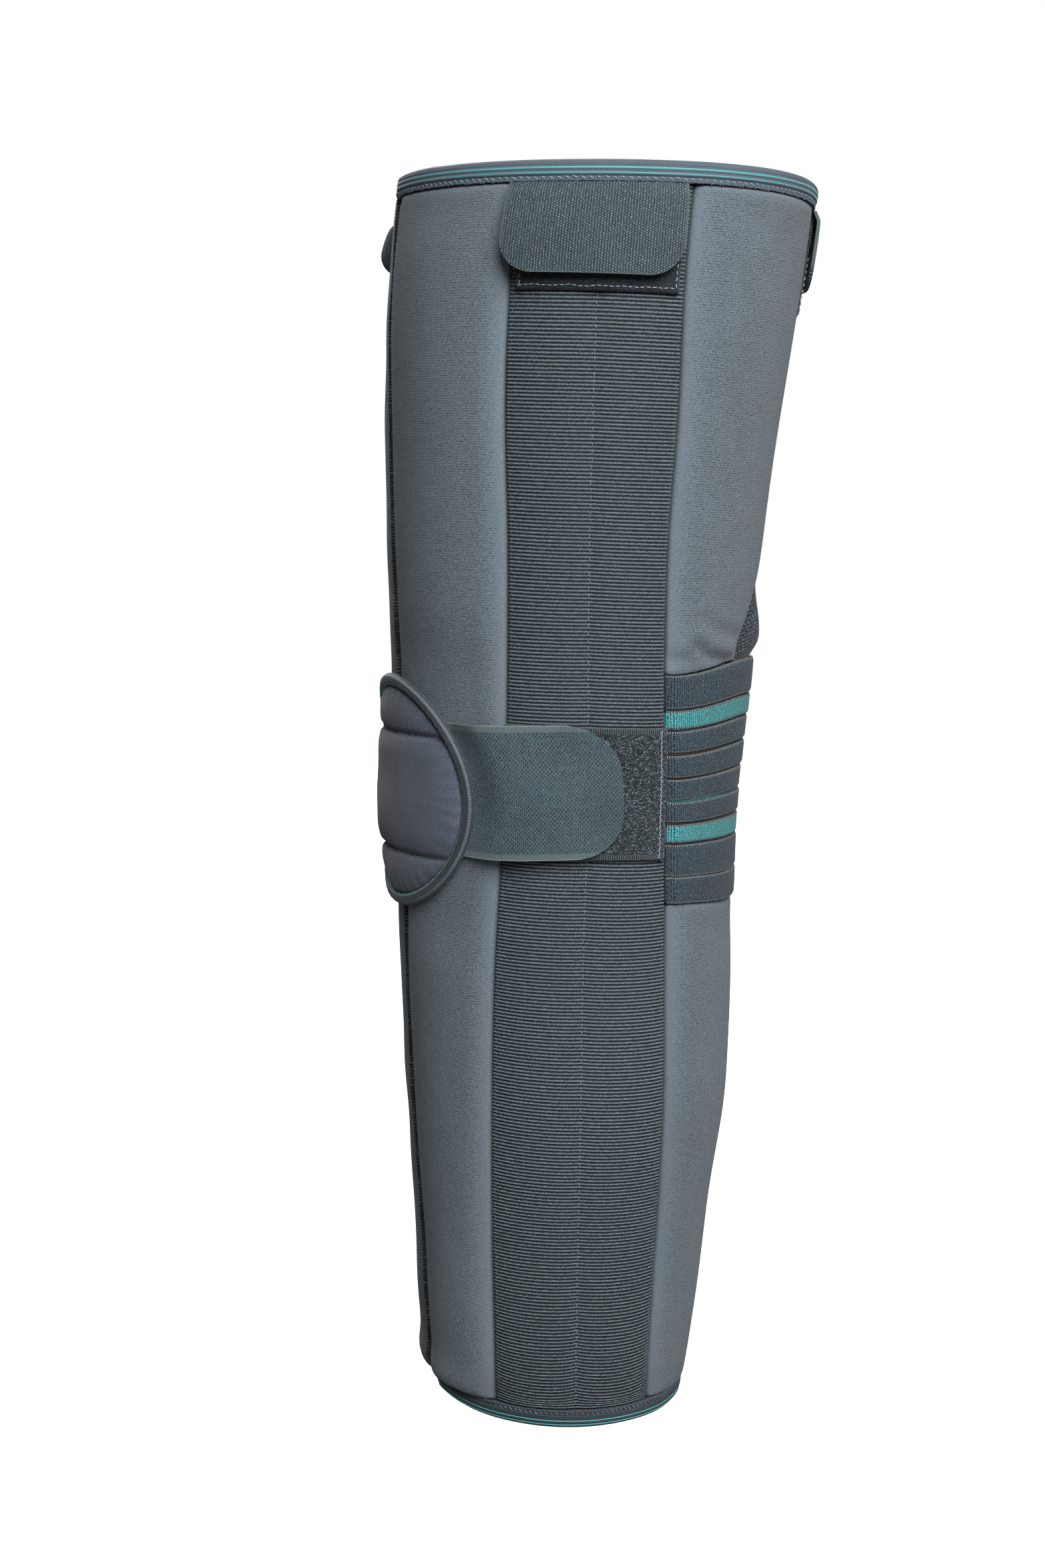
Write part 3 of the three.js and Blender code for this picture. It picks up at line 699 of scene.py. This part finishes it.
for side, name in SIDES:
    shares = np.concatenate((0.5 * stations(0.0325, 0.004, 0.001, 0.003), [0.5]))
    shares = np.unique(np.round(np.concatenate((shares, 1 - shares)), 6))
    rows = np.linspace(WRAP_BOTTOM, WRAP_TOP, 4 * RIBS + 1)
    piece, column, row, outer = slab(f"channel_webbing_{name}", shares, rows)
    warped = row + rib_warp(column, row)
    first = channel_edge(side, -1)(row) + degrees_of(PROUD_GAP, row)
    last = channel_edge(side, 1)(row) - degrees_of(PROUD_GAP, row)
    azimuth = first + column * (last - first)
    drop = np.abs(2 * ((2 * column) % 1) - 1) ** 3
    cord = 0.5 - 0.5 * np.cos(2 * np.pi * (row - WRAP_BOTTOM) / RIB)
    face = -0.001 - 0.0012 * drop - 0.0005 * (1 - cord)
    broad = leg_value(CHANNEL, row)
    across = (column - 0.5) * broad
    lay(
        piece,
        on_leg(azimuth, warped, np.where(outer, face, INNER)),
        across,
        row - WRAP_BOTTOM,
        broad / 2 - np.abs(across),
        80,
    )
    finish(piece, "webbing", grosgrain, nodes=[f"channel_{name}"])

    draw = np.random.default_rng(11)
    for seam, share, sink, cloth in (
        ("edge", 0.022, -0.0021, edge_thread),
        ("middle", 0.5, -0.0022, seam_thread),
        ("far_edge", 0.978, -0.0021, edge_thread),
    ):
        height = np.arange(WRAP_BOTTOM + 0.003, WRAP_TOP - 0.003, 2 * RIB)
        height = height + draw.normal(0, 0.00012, len(height))
        broad = leg_value(CHANNEL, height)
        azimuth = side * CHANNEL_AZIMUTH + (share - 0.5) * degrees_of(broad, height)
        azimuth = azimuth + degrees_of(draw.normal(0, 0.00012, len(height)), height)
        low, high = on_leg(azimuth, height - 0.0005, sink), on_leg(azimuth, height + 0.0005, sink)
        length = draw.uniform(0.0009, 0.0019, len(height))
        out = outward(azimuth, height)
        piece = stitches(f"channel_{seam}_{name}", (low + high) / 2, high - low, out, length, 0.0004)
        finish(piece, "webbing", cloth)


# Elastic behind the knee
# Nine woven strips, grey and teal, joined by an open ladder of threads. They start close
# together at the channels and fan out toward the back.
# Each strip's share of the height, the gap's above it, and its colour, from the lowest up
STRIPS = (
    (0.1163, 0.0045, "grey"),
    (0.1383, 0.0100, "grey"),
    (0.0785, 0.0130, "teal"),
    (0.0860, 0.0130, "grey"),
    (0.0875, 0.0100, "grey"),
    (0.0943, 0.0145, "grey"),
    (0.0913, 0.0100, "grey"),
    (0.0800, 0.0100, "teal"),
    (0.1428, 0.0000, "grey"),
)


def elastic_weave(name, yarn, shade, gap, pale):
    """Fine weave with dark gaps, and slanted pale threads over the edges of the strip."""
    made, tree, shader, place = fabric(name, 0.75, 0.1)
    worn = aged(tree, place)
    weave = woven(tree, place, 0.001, 0.00095, stagger=0.4, wide=0.55, tall=0.75, wander=0.5)
    slanted = node(tree, "Mapping", None, {"Vector": place, "Rotation": (0, 0, 0.5)}).outputs[0]
    threads = woven(tree, slanted, 0.0007, 0.004, stagger=0.0, wide=0.42, tall=3.0, wander=0.4)
    edge = component(tree, place, 2)
    dyed = blend(tree, worn["Mottle"], yarn, shade)
    dyed = blend(tree, step_up(tree, worn["Fibre"], 0.45, 0.75), dyed, pale)
    hole = maths(tree, "MULTIPLY_ADD", weave["Chance"], 0.4, 0.6)
    hole = maths(tree, "MULTIPLY", weave["Dot"], hole)
    dyed = blend(tree, hole, dyed, gap)
    overcast = blend(tree, threads["Dot"], 0x0B0E10, 0x848D91)
    dyed = blend(tree, step_up(tree, edge, 0.00075, 0.0006), dyed, overcast)
    paint(tree, shader, dyed, maths(tree, "SUBTRACT", 1.0, hole), 0.0003)
    return made


elastic_cloth = {
    "grey": elastic_weave("grey elastic", 0x283742, 0x334551, 0x050708, 0x677883),
    "teal": elastic_weave("teal elastic", 0x338A8D, 0x45999C, 0x0C3032, 0x79BFC1),
}


def ladder_threads(name, behind):
    """Threads across a gap between two strips, with painted shade between the threads."""
    made, tree, shader, place = fabric(name, 0.7, 0.1)
    rungs = woven(tree, place, 0.00052, 0.004, stagger=0.0, wide=0.42, tall=3.0, wander=0.5)
    # Painted shade: between the threads the sheet is near black, as shade in the open gap.
    dyed = blend(tree, rungs["Dot"], 0x0B0E10, behind)
    paint(tree, shader, dyed, rungs["Dot"], 0.0003)
    return made


dark_ladder = ladder_threads("elastic ladder", 0x3A4043)
teal_ladder = ladder_threads("elastic ladder with teal", 0x45B5B8)


def band(share_low, share_high, name, thick, face, count, rows):
    """A strip round the back of the knee, at shares of the elastic's height."""
    piece, column, row, outer = slab(name, np.linspace(0, 1, count), np.linspace(0, 1, rows))
    share = share_low + row * (share_high - share_low)
    across, near, tall, height, azimuth = round_back(column, share)
    edge = np.minimum(row, 1 - row) * (share_high - share_low) * tall
    rounding = 0.0004 * np.clip(1 - edge / 0.0009, 0, 1) ** 2
    tucked = 0.0022 * (1 - smooth(near, 0, 0.004))
    offset = np.where(outer, face - rounding, face - thick) - tucked
    return piece, azimuth, height, offset, across, edge


parts = []
for number, (tall, gap, kind) in enumerate(STRIPS):
    low = sum(t + g for t, g, _ in STRIPS[:number])
    piece, azimuth, height, offset, across, edge = band(
        low, low + tall, f"strip_{number}", 0.0017, 0.0011, 130, 11
    )
    offset = offset + 0.00025 * uneven(across, height, 0.02, 20 + number)
    lay(piece, on_leg(azimuth, height, offset), across, height, edge)
    piece.data.materials.append(elastic_cloth[kind])
    parts.append(piece)
    if gap:
        piece, azimuth, height, offset, across, edge = band(
            low + tall, low + tall + gap, f"ladder_{number}", 0.0004, 0.0004, 130, 3
        )
        lay(piece, on_leg(azimuth, height, offset), across, height, edge)
        piece.data.materials.append(teal_ladder if number == 3 else dark_ladder)
        parts.append(piece)
deselect_all()
for part in parts:
    part.select_set(True)
bpy.context.view_layer.objects.active = parts[0]
bpy.ops.object.join()
piece = bpy.context.object
piece.name = piece.data.name = "elastic_band"
finish(piece, "elastic", nodes=["popliteal_elastic"])


# Loop patches
# Pile tape with plain ribbed selvedges: one across each channel at the knee, for the straps,
# and one under each flap at the upper rim.
def loop_pile(name, deep, mid, glint_colour, strength, ribs):
    """Matted loops with painted glints on their tips; ribs is how strongly the selvedges show."""
    made, tree, shader, place = fabric(name, 0.85, 0.2)
    sockets = {"Vector": place, "Scale": 1450, "Randomness": 1.0}
    tufts = node(tree, "TexVoronoi", {"feature": "F1"}, sockets).outputs
    # Painted highlight: a share of the pile's cells are painted in a pale glint colour.
    sparkle = maths(tree, "SUBTRACT", 1.0, step_up(tree, tufts["Distance"], 0.15, 0.6))
    chosen = component(tree, tufts["Color"], 0)
    sparkle = maths(tree, "MULTIPLY", sparkle, step_up(tree, chosen, 0.2, 1.1))
    fine_ribs = woven(tree, place, 0.0009, 0.01, stagger=0.0, wide=0.4, tall=3.0)
    selvedge = maths(tree, "SUBTRACT", 1.0, step_up(tree, component(tree, place, 2), 0.0022, 0.0027))
    clumps = step_up(tree, noise(tree, place, 420, 4, 0.65), 0.3, 0.75)
    dyed = blend(tree, clumps, deep, mid)
    dyed = blend(tree, maths(tree, "MULTIPLY", sparkle, strength), dyed, glint_colour)
    ribbed = blend(tree, fine_ribs["Dot"], 0x14191C, 0x5A666B)
    dyed = blend(tree, maths(tree, "MULTIPLY", selvedge, ribs), dyed, ribbed)
    paint(tree, shader, dyed, tufts["Distance"], -0.0006)
    return made


# The pale colours and strengths here are for the painted glints on the loop tips.
knee_pile = loop_pile("loop pile", 0x0D1519, 0x232F36, 0xA6B8C0, 0.75, 1.0)
top_pile = loop_pile("brushed loop pile", 0x10171C, 0x202A31, 0x67757F, 0.35, 0.0)
pale_thread = thread("pale thread", 0x5E6C7C, 0xB8C4D2)


def sewn(name, slot, azimuth, height, out, swing, length):
    """Pale thread along a line on the leg; the stitches turn to and fro by a swing."""
    middle = on_leg(azimuth, height, out + 0 * height)
    along = np.gradient(middle, axis=0)
    face = outward(azimuth, height)
    side = np.cross(face / np.linalg.norm(face, axis=1)[:, None], along)
    swung = along + side * (swing * (1 - 2 * (np.arange(len(height)) % 2)))[:, None]
    piece = stitches(name, middle, swung, face, length, 0.00042)
    finish(piece, slot, pale_thread)


def loop_patch(name, azimuth, width, bottom, top, step, pile):
    columns = np.linspace(0, 1, round(width / step) + 1)
    rows = np.linspace(0, 1, round((top - bottom) / step) + 1)
    piece, column, row, outer = slab(name.replace("loop", "pile"), columns, rows)
    height = bottom + row * (top - bottom)
    across, up = column * width, row * (top - bottom)
    where = azimuth + (column - 0.5) * degrees_of(width, height)
    in_from_edge = np.minimum(up, top - bottom - up)
    draw = np.random.default_rng(31)
    tuft = draw.uniform(-0.00035, 0.00025, len(across)) * (in_from_edge > 0.003)
    rim = np.minimum(in_from_edge, np.minimum(across, width - across))
    face = 0.00065 - 0.0005 * (rim < step / 2) + tuft * (rim > step / 2)
    offset = np.where(outer, face, -0.00085)
    lay(piece, on_leg(where, height, offset), across, up, in_from_edge, 180)
    finish(piece, "loop", pile, nodes=[name])


for side, name in SIDES:
    azimuth = side * CHANNEL_AZIMUTH
    base = f"channel_webbing_{name}"
    loop_patch(f"knee_loop_{name}", azimuth, 0.065, 0.238, 0.290, 0.0006, knee_pile)
    height = np.arange(0.2392, 0.289, 0.0011)
    edge = azimuth + side * degrees_of(0.0296 + 0.0002 * uneven(height, 0 * height, 0.004, 32), height)
    sewn(f"knee_loop_seam_{name}", "loop", edge, height, 0.0008, 0.55, 0.0016)
for name, azimuth, base in (
    ("lateral", CHANNEL_AZIMUTH, "channel_webbing_lateral"),
    ("medial", -CHANNEL_AZIMUTH, "channel_webbing_medial"),
    ("back", 180, "back_knit_thigh"),
):
    loop_patch(f"top_loop_{name}", azimuth, 0.0625, 0.453, WRAP_TOP, 0.0008, top_pile)
    across = np.arange(-0.0295, 0.0296, 0.0023)
    height = 0.4545 + 0.00035 * uneven(across, 0 * across, 0.006, 33)
    sewn(f"top_loop_hem_{name}", "loop", azimuth + degrees_of(across, height), height, 0.0009, 0.12, 0.0019)
    for way in (-1, 1):
        height = np.arange(0.4555, 0.474, 0.0023)
        beside = azimuth + way * degrees_of(0.0296 + 0 * height, height)
        sewn(f"top_loop_seam_{name}_{way + 2}", "loop", beside, height, 0.0009, 0.12, 0.0017)


# Knee pad
# A round pad of charcoal knit over foam, quilted by two seams across it into three puffs.
PAD_AZIMUTH, PAD_WIDTH, PAD_CORD, PAD_SEAM = -3, 0.094, 0.005, 0.024


def on_pad(across, rise, out):
    height = KNEE_HEIGHT + rise
    return on_leg(PAD_AZIMUTH + degrees_of(across, height), height, 0.00045 + out)


pad_knit, tree, shader, place = fabric("charcoal knit", 0.9, 0.2)
worn = aged(tree, place)
wales = woven(tree, place, 0.00085, 0.0011, wide=0.55, wander=0.8)
fuzz = noise(tree, place, 2300, 3, 0.7)
dyed = blend(tree, worn["Mottle"], 0x3D4551, 0x4B5463)
dyed = blend(tree, maths(tree, "MULTIPLY", step_up(tree, fuzz, 0.4, 0.75), 0.6), dyed, 0x747E8D)
dyed = blend(tree, maths(tree, "MULTIPLY", wales["Dot"], 0.4), dyed, 0x262B33)
paint(tree, shader, dyed, fuzz, 0.0002)

steps = np.linspace(-1, 1, 101)
piece, x, y, outer = slab("quilted_pad", steps, steps)
reach = np.maximum(np.abs(x), np.abs(y))
safe = np.where(np.hypot(x, y) > 1e-9, np.hypot(x, y), 1)
radius = PAD_WIDTH / 2 - PAD_CORD + 0.0001
across, rise = radius * x * reach / safe, radius * y * reach / safe
turn = np.arctan2(rise, across)
to_seam = np.abs(np.abs(rise) - PAD_SEAM)
to_edge = radius * (1 - reach)
middle = np.exp(-(((rise + 0.012) / 0.016) ** 2))
puff = 0.0048 + 0.0015 * middle - 0.0004 * smooth(rise, 0.02, 0.04)
puff = puff - 0.0013 * np.exp(-((to_seam / 0.005) ** 2)) - 0.0019 * np.exp(-((to_seam / 0.0012) ** 2))
gather = np.sin(turn * 38 + 2 * np.sin(5 * turn)) * np.exp(-to_edge / 0.005) * 0.0002
seam_gather = np.sin(across * 2100 + 3 * np.sin(across * 210)) * np.exp(-to_seam / 0.003) * 0.0002
out = puff * (0.42 + 0.58 * np.sqrt(np.clip(1 - (1 - np.clip(to_edge / 0.013, 0, 1)) ** 2, 0, 1)))
out = out + gather + seam_gather + 0.0003 * uneven(across, rise, 0.012, 41)
lay(piece, on_pad(across, rise, np.where(outer, out, 0)), across, rise, to_edge)
finish(piece, "pad", pad_knit, nodes=["knee_pad"])


# Pad binding
# Ribbed elastic rolled round the pad's edge into a cord, with teal lines on its inner side.
def ribbed_binding(name, base, light, ribs):
    made, tree, shader, place = fabric(name, 0.75, 0.1)
    worn = aged(tree, place)
    wefts = woven(tree, place, 0.0006, 0.0009, stagger=0.0, wide=0.35, tall=0.9, wander=0.3)
    dyed = blend(tree, worn["Mottle"], base, light)
    dyed = blend(tree, maths(tree, "MULTIPLY", wefts["Dot"], 0.45), dyed, ribs)
    paint(tree, shader, dyed, wefts["Dot"], 0.0002)
    return made


ribbed_elastic = ribbed_binding("ribbed elastic binding", 0x404B54, 0x54626C, 0x7D8991)
dark_elastic = ribbed_binding("dark elastic binding", 0x232B30, 0x303A41, 0x5A666E)
dark_binding, tree, shader, place = fabric("dark rolled binding", 0.75, 0.2)
worn = aged(tree, place)
wefts = woven(tree, place, 0.0006, 0.02, stagger=0.0, wide=0.4, tall=3.0, wander=0.3)
round_roll = component(tree, place, 1)
# A lighter ribbed stripe round one side of the cord: partly the yarn's own colour and partly a painted
# highlight where the cord's round faces the light.
stripe_and_highlight = step_up(tree, round_roll, 0.0011, 0.0016)
stripe_and_highlight = maths(tree, "MULTIPLY", stripe_and_highlight, step_up(tree, round_roll, 0.0030, 0.0025))
stripe_and_highlight = maths(tree, "MULTIPLY", stripe_and_highlight, maths(tree, "MULTIPLY_ADD", wefts["Dot"], 0.6, 0.25))
stripe_and_highlight = maths(tree, "MULTIPLY_ADD", wefts["Dot"], 0.07, stripe_and_highlight, clamp=True)
dyed = blend(tree, worn["Mottle"], 0x191F23, 0x262E34)
dyed = blend(tree, maths(tree, "MULTIPLY", worn["Fibre"], 0.3), dyed, 0x4B555D)
dyed = blend(tree, stripe_and_highlight, dyed, 0x76838C)
paint(tree, shader, dyed, wefts["Dot"], 0.0003)
teal_yarn = thread("teal yarn", 0x2E878B, 0x68B6BA, 0.2)

deselect_all()
bpy.ops.mesh.primitive_torus_add(
    major_segments=220, minor_segments=48, major_radius=1, minor_radius=0.25
)
piece = bpy.context.object
piece.name = piece.data.name = "rolled_binding"
at = np.array([v.co for v in piece.data.vertices])
round_pad = np.arctan2(at[:, 1], at[:, 0])
round_cord = np.arctan2(at[:, 2], np.hypot(at[:, 0], at[:, 1]) - 1)
cord = PAD_CORD / 2 * (0.96 + 0.04 * np.cos(6 * round_cord)) + 0.00008 * np.sin(61 * round_pad)
ring = PAD_WIDTH / 2 - PAD_CORD / 2 + cord * np.cos(round_cord)
out = 0.8 * (PAD_CORD / 2 + cord * np.sin(round_cord))
lay(
    piece,
    on_pad(ring * np.cos(round_pad), ring * np.sin(round_pad), out),
    round_pad * PAD_WIDTH / 2,
    round_cord * PAD_CORD / 2,
    0 * ring,
    80,
)
finish(piece, "binding", dark_binding, teal_yarn, nodes=["knee_pad_binding"])
for face in piece.data.polygons:
    angle = np.degrees(np.mean(round_cord[list(face.vertices)]))
    if 127 < angle < 135 or 150 < angle < 158:
        face.material_index = 1


# Hook tapes
# Two straps from the pad, pressed onto the knee loops, and three flaps folded down from the
# upper rim onto theirs. The woven back of the tape is outside, between plain selvedges.
def tape_back(name, base, light, spots, strength, size, ribbed):
    """Woven back of hook tape: fine ribs with spots in staggered columns, between selvedges."""
    made, tree, shader, place = fabric(name, 0.7, 0.1)
    worn = aged(tree, place)
    edge = component(tree, place, 2)
    dots = woven(tree, place, **size)
    ribs = woven(tree, place, 0.0007, 0.0009, wide=0.45, tall=0.7, wander=0.3)
    body = step_up(tree, edge, 0.0023, 0.0027)
    dyed = blend(tree, step_up(tree, worn["Mottle"], 0.25, 0.75), base, light)
    tick = maths(tree, "MULTIPLY_ADD", ribs["Chance"], ribbed, 0.05)
    dyed = blend(tree, maths(tree, "MULTIPLY", ribs["Dot"], tick), dyed, 0x8A9A9E)
    dyed = blend(tree, body, blend(tree, 0.4, dyed, 0x6A7773), dyed)
    share = maths(tree, "MULTIPLY_ADD", dots["Chance"], 0.4, 0.6)
    spot = maths(tree, "MULTIPLY", maths(tree, "MULTIPLY", dots["Dot"], share), strength)
    spot = maths(tree, "MULTIPLY", spot, body)
    dyed = blend(tree, spot, dyed, spots)
    rim = step_up(tree, edge, 0.0006, 0.0002)
    dyed = blend(tree, maths(tree, "MULTIPLY", rim, 0.5), dyed, 0x8B9794)
    paint(tree, shader, dyed, maths(tree, "MULTIPLY_ADD", spot, -0.8, ribs["Dot"]), 0.0002)
    return made


dark_dots = {"across": 0.00072, "up": 0.00175, "wide": 0.75, "tall": 0.42, "wander": 0.4}
pale_dots = {"across": 0.00102, "up": 0.00098, "stagger": 0.42, "wide": 0.42, "tall": 0.7, "wander": 0.8}
strap_tape = tape_back("strap tape", 0x3C4D54, 0x475960, 0x10171A, 0.85, dark_dots, 0.55)
flap_tape = tape_back("flap tape", 0x222E34, 0x2B383F, 0x8A9BA3, 0.62, pale_dots, 0.0)

TAPE_INNER, TAPE_THICK, STRAP_TALL, STRAP_CORNER = 0.0012, 0.0014, 0.052, 0.018
STRAP_RISE, STRAP_END = 0.0044, 81


def corner_inset(distance, radius):
    left = np.clip(radius - distance, 0, radius)
    return radius - np.sqrt(radius**2 - left**2)


for side, name in SIDES:
    start = PAD_WIDTH / 2 - 0.0004
    reach = float(length_of(STRAP_END - side * PAD_AZIMUTH, KNEE_HEIGHT))
    corner = STRAP_CORNER / (reach - start)
    curve = 1 - corner * (1 - np.sin(np.linspace(0, np.pi / 2, 15)))
    columns = np.concatenate((np.linspace(0, 1 - corner, 50)[:-1], curve))
    if side < 0:
        columns = columns[::-1]
    piece, share, row, outer = slab(f"hook_strap_{name}", columns, np.linspace(-0.5, 0.5, 41))
    climb = STRAP_RISE + 0.0028 * smooth(share, 0, 1)
    beside = np.sqrt(start**2 - (climb + row * STRAP_TALL) ** 2)
    across = beside + share * (reach - beside)
    to_end = (1 - share) * (reach - start)
    to_cord = share * (reach - beside)
    inset = corner_inset(to_end, STRAP_CORNER)
    rise = row * (STRAP_TALL - 2 * inset)
    lift = 0.0007 * smooth(share, 0.75, 1) * (0.4 + 0.6 * np.cos(row * 5))
    lift = lift + 0.0036 * smooth(to_cord, 0, 0.016) * (1 - smooth(to_cord, 0.018, 0.05))
    lift = lift - 0.0009 * (1 - smooth(to_cord, 0.02, 0.05))
    lift = lift + 0.00015 * uneven(across, rise, 0.02, 51)
    offset = TAPE_INNER + lift + np.where(outer, TAPE_THICK, 0)
    height = KNEE_HEIGHT + climb + rise
    azimuth = PAD_AZIMUTH + side * degrees_of(across, height)
    selvedge = STRAP_TALL / 2 - np.abs(rise)
    lay(piece, on_leg(azimuth, height, offset), across, rise, selvedge)
    finish(piece, "hook_tape", strap_tape, nodes=[f"strap_{name}"])

FLAP_WIDTH, FLAP_TALL, FLAP_CORNER = 0.0675, 0.033, 0.013
# How far each stands off, how steeply it springs out, which side of it springs further, and
# how much of its length is left to hang
for name, middle, stands_off, spring, lean, hangs in (
    ("lateral", 68.5, 0.003, 1.0, -0.5, 1.0),
    ("medial", -68.5, 0.0115, 0.17, 0.95, 0.64),
    ("back", 180, 0.001, 0.3, -0.3, 0.86),
):
    corner = FLAP_CORNER / FLAP_TALL
    low = corner * (1 - np.cos(np.linspace(0, np.pi / 2, 13)))
    rows = np.concatenate((low, np.linspace(corner, 1, 16)[1:]))
    piece, column, row, outer = slab(f"hook_flap_{name}", np.linspace(-0.5, 0.5, 49), rows)
    height = WRAP_TOP - hangs * (1 - row) * FLAP_TALL
    inset = corner_inset(row * FLAP_TALL, FLAP_CORNER)
    across = column * (FLAP_WIDTH - 2 * inset)
    lift = stands_off * np.sin((1 - row) * np.pi / 2) ** spring
    lift = lift * (0.85 + 0.4 * column**2 + lean * column) + 0.00025 * uneven(across, height, 0.02, 61)
    lift = lift - 0.0016 * smooth(row, 0.85, 1)
    offset = TAPE_INNER + lift + np.where(outer, TAPE_THICK, 0)
    azimuth = middle + degrees_of(across, height)
    edge = np.minimum(FLAP_WIDTH / 2 - np.abs(across), (row + 0.02) * FLAP_TALL)
    down = WRAP_TOP - (1 - row) * FLAP_TALL
    lay(piece, on_leg(azimuth, height, offset), across, down, edge + 0.0015)
    finish(piece, "hook_tape", flap_tape, nodes=[f"flap_{name}"])


# Rim bindings
# Ribbed elastic folded over the raw edges at both rims, with two teal lines, and held by a
# slanted seam along its lower or upper edge. Each winds once round and ends on the tongue.
def rim_binding(name, rim, teal_lines, cloth, pitch, thick, seed):
    up = rim == 0
    tongue = tongue_end(rim)
    tuck = 360 + FREE_EDGE - 5
    columns = np.concatenate(
        (
            np.linspace(FREE_EDGE, tongue + 2, 14),
            np.linspace(tongue + 4, tuck, 150),
            np.linspace(tuck + 3, 360 + tongue, 12),
        )
    )
    deep = np.concatenate(([0, 0.1, 0.25], np.arange(0.4, 8.01, 0.2))) / 1000
    rows = deep if up else 0.5 - deep[::-1]
    piece, azimuth, height, outer = slab(name.replace("binding", "rim_binding"), columns, rows)
    deep = np.abs(height - rim)
    sink = smooth(azimuth, 290, 360 + channel_edge(-1, 1)(rim))
    tucked = azimuth > tuck + 1
    over = azimuth < tongue + 3
    face = np.where(tucked, TONGUE_FACE, 0.0004 - 0.0012 * sink)
    back = np.where(over, LAP_INNER, -0.009)
    share = np.clip(1 - deep / 0.0026, 0, 1)
    rounding = np.minimum(0.0028, (face - back) / 3) * (1 - np.sqrt(1 - share**2))
    lines = np.zeros_like(deep)
    for line in teal_lines:
        lines += 0.00022 * np.exp(-(((deep - line) / 0.00022) ** 2))
    ribbed = (deep < 0.0058) * (1 - np.clip(lines / 0.0001, 0, 1))
    ribs = 0.00013 * np.cos(2 * np.pi * deep / 0.00095) * ribbed
    seam = -0.0005 * smooth(deep, 0.0058, 0.0063)
    across = length_of(azimuth, rim)
    wave = 0.0002 * uneven(across, 0 * across, 0.015, seed)
    outer_face = face - rounding + (lines + ribs + seam + wave) * ~tucked
    offset = np.where(outer, outer_face, back + rounding)
    lay(piece, on_leg(azimuth, height, offset), across, deep, 0 * deep, 60)
    finish(piece, "binding", cloth, teal_yarn, nodes=[name])
    middles = np.array([deep[list(face.vertices)].mean() for face in piece.data.polygons])
    outside = np.array([outer[list(face.vertices)].all() for face in piece.data.polygons])
    teal = np.zeros(len(middles), bool)
    for line in teal_lines:
        teal |= outside & (np.abs(middles - line) < 0.00021)
    piece.data.polygons.foreach_set("material_index", teal.astype(np.int32))

    # A slanted row of pale stitches, and dark overcast loops along the binding's edge
    draw = np.random.default_rng(seed)
    way = -1 if up else 1
    for row, step, depth, lean, long, broad, thread in (
        ("seam", pitch, 0.0069, -0.0006, 0.75, thick, seam_thread),
        ("overcast", 0.0013, 0.0079, 0.0006, 0.95, 0.00085, edge_thread),
    ):
        step = degrees_of(step, rim)
        azimuth = np.arange(FREE_EDGE + 1, 348, step)
        sink = smooth(azimuth, 290, 360 + channel_edge(-1, 1)(rim))
        height = rim - way * depth + draw.normal(0, 0.00012, len(azimuth))
        offset = -0.0002 - 0.0012 * sink
        ahead = on_leg(azimuth + step / 2, height + lean, offset)
        behind = on_leg(azimuth - step / 2, height - lean, offset)
        length = long * np.linalg.norm(ahead - behind, axis=1) * draw.uniform(0.7, 1.1, len(azimuth))
        out = outward(azimuth, height)
        piece = stitches(f"{name}_{row}", (ahead + behind) / 2, ahead - behind, out, length, broad)
        finish(piece, "binding", thread)


rim_binding("top_binding", 0.5, (0.0033, 0.00515), ribbed_elastic, 0.0030, 0.0009, 71)
rim_binding("bottom_binding", 0.0, (0.0019, 0.0037), dark_elastic, 0.0021, 0.00055, 72)
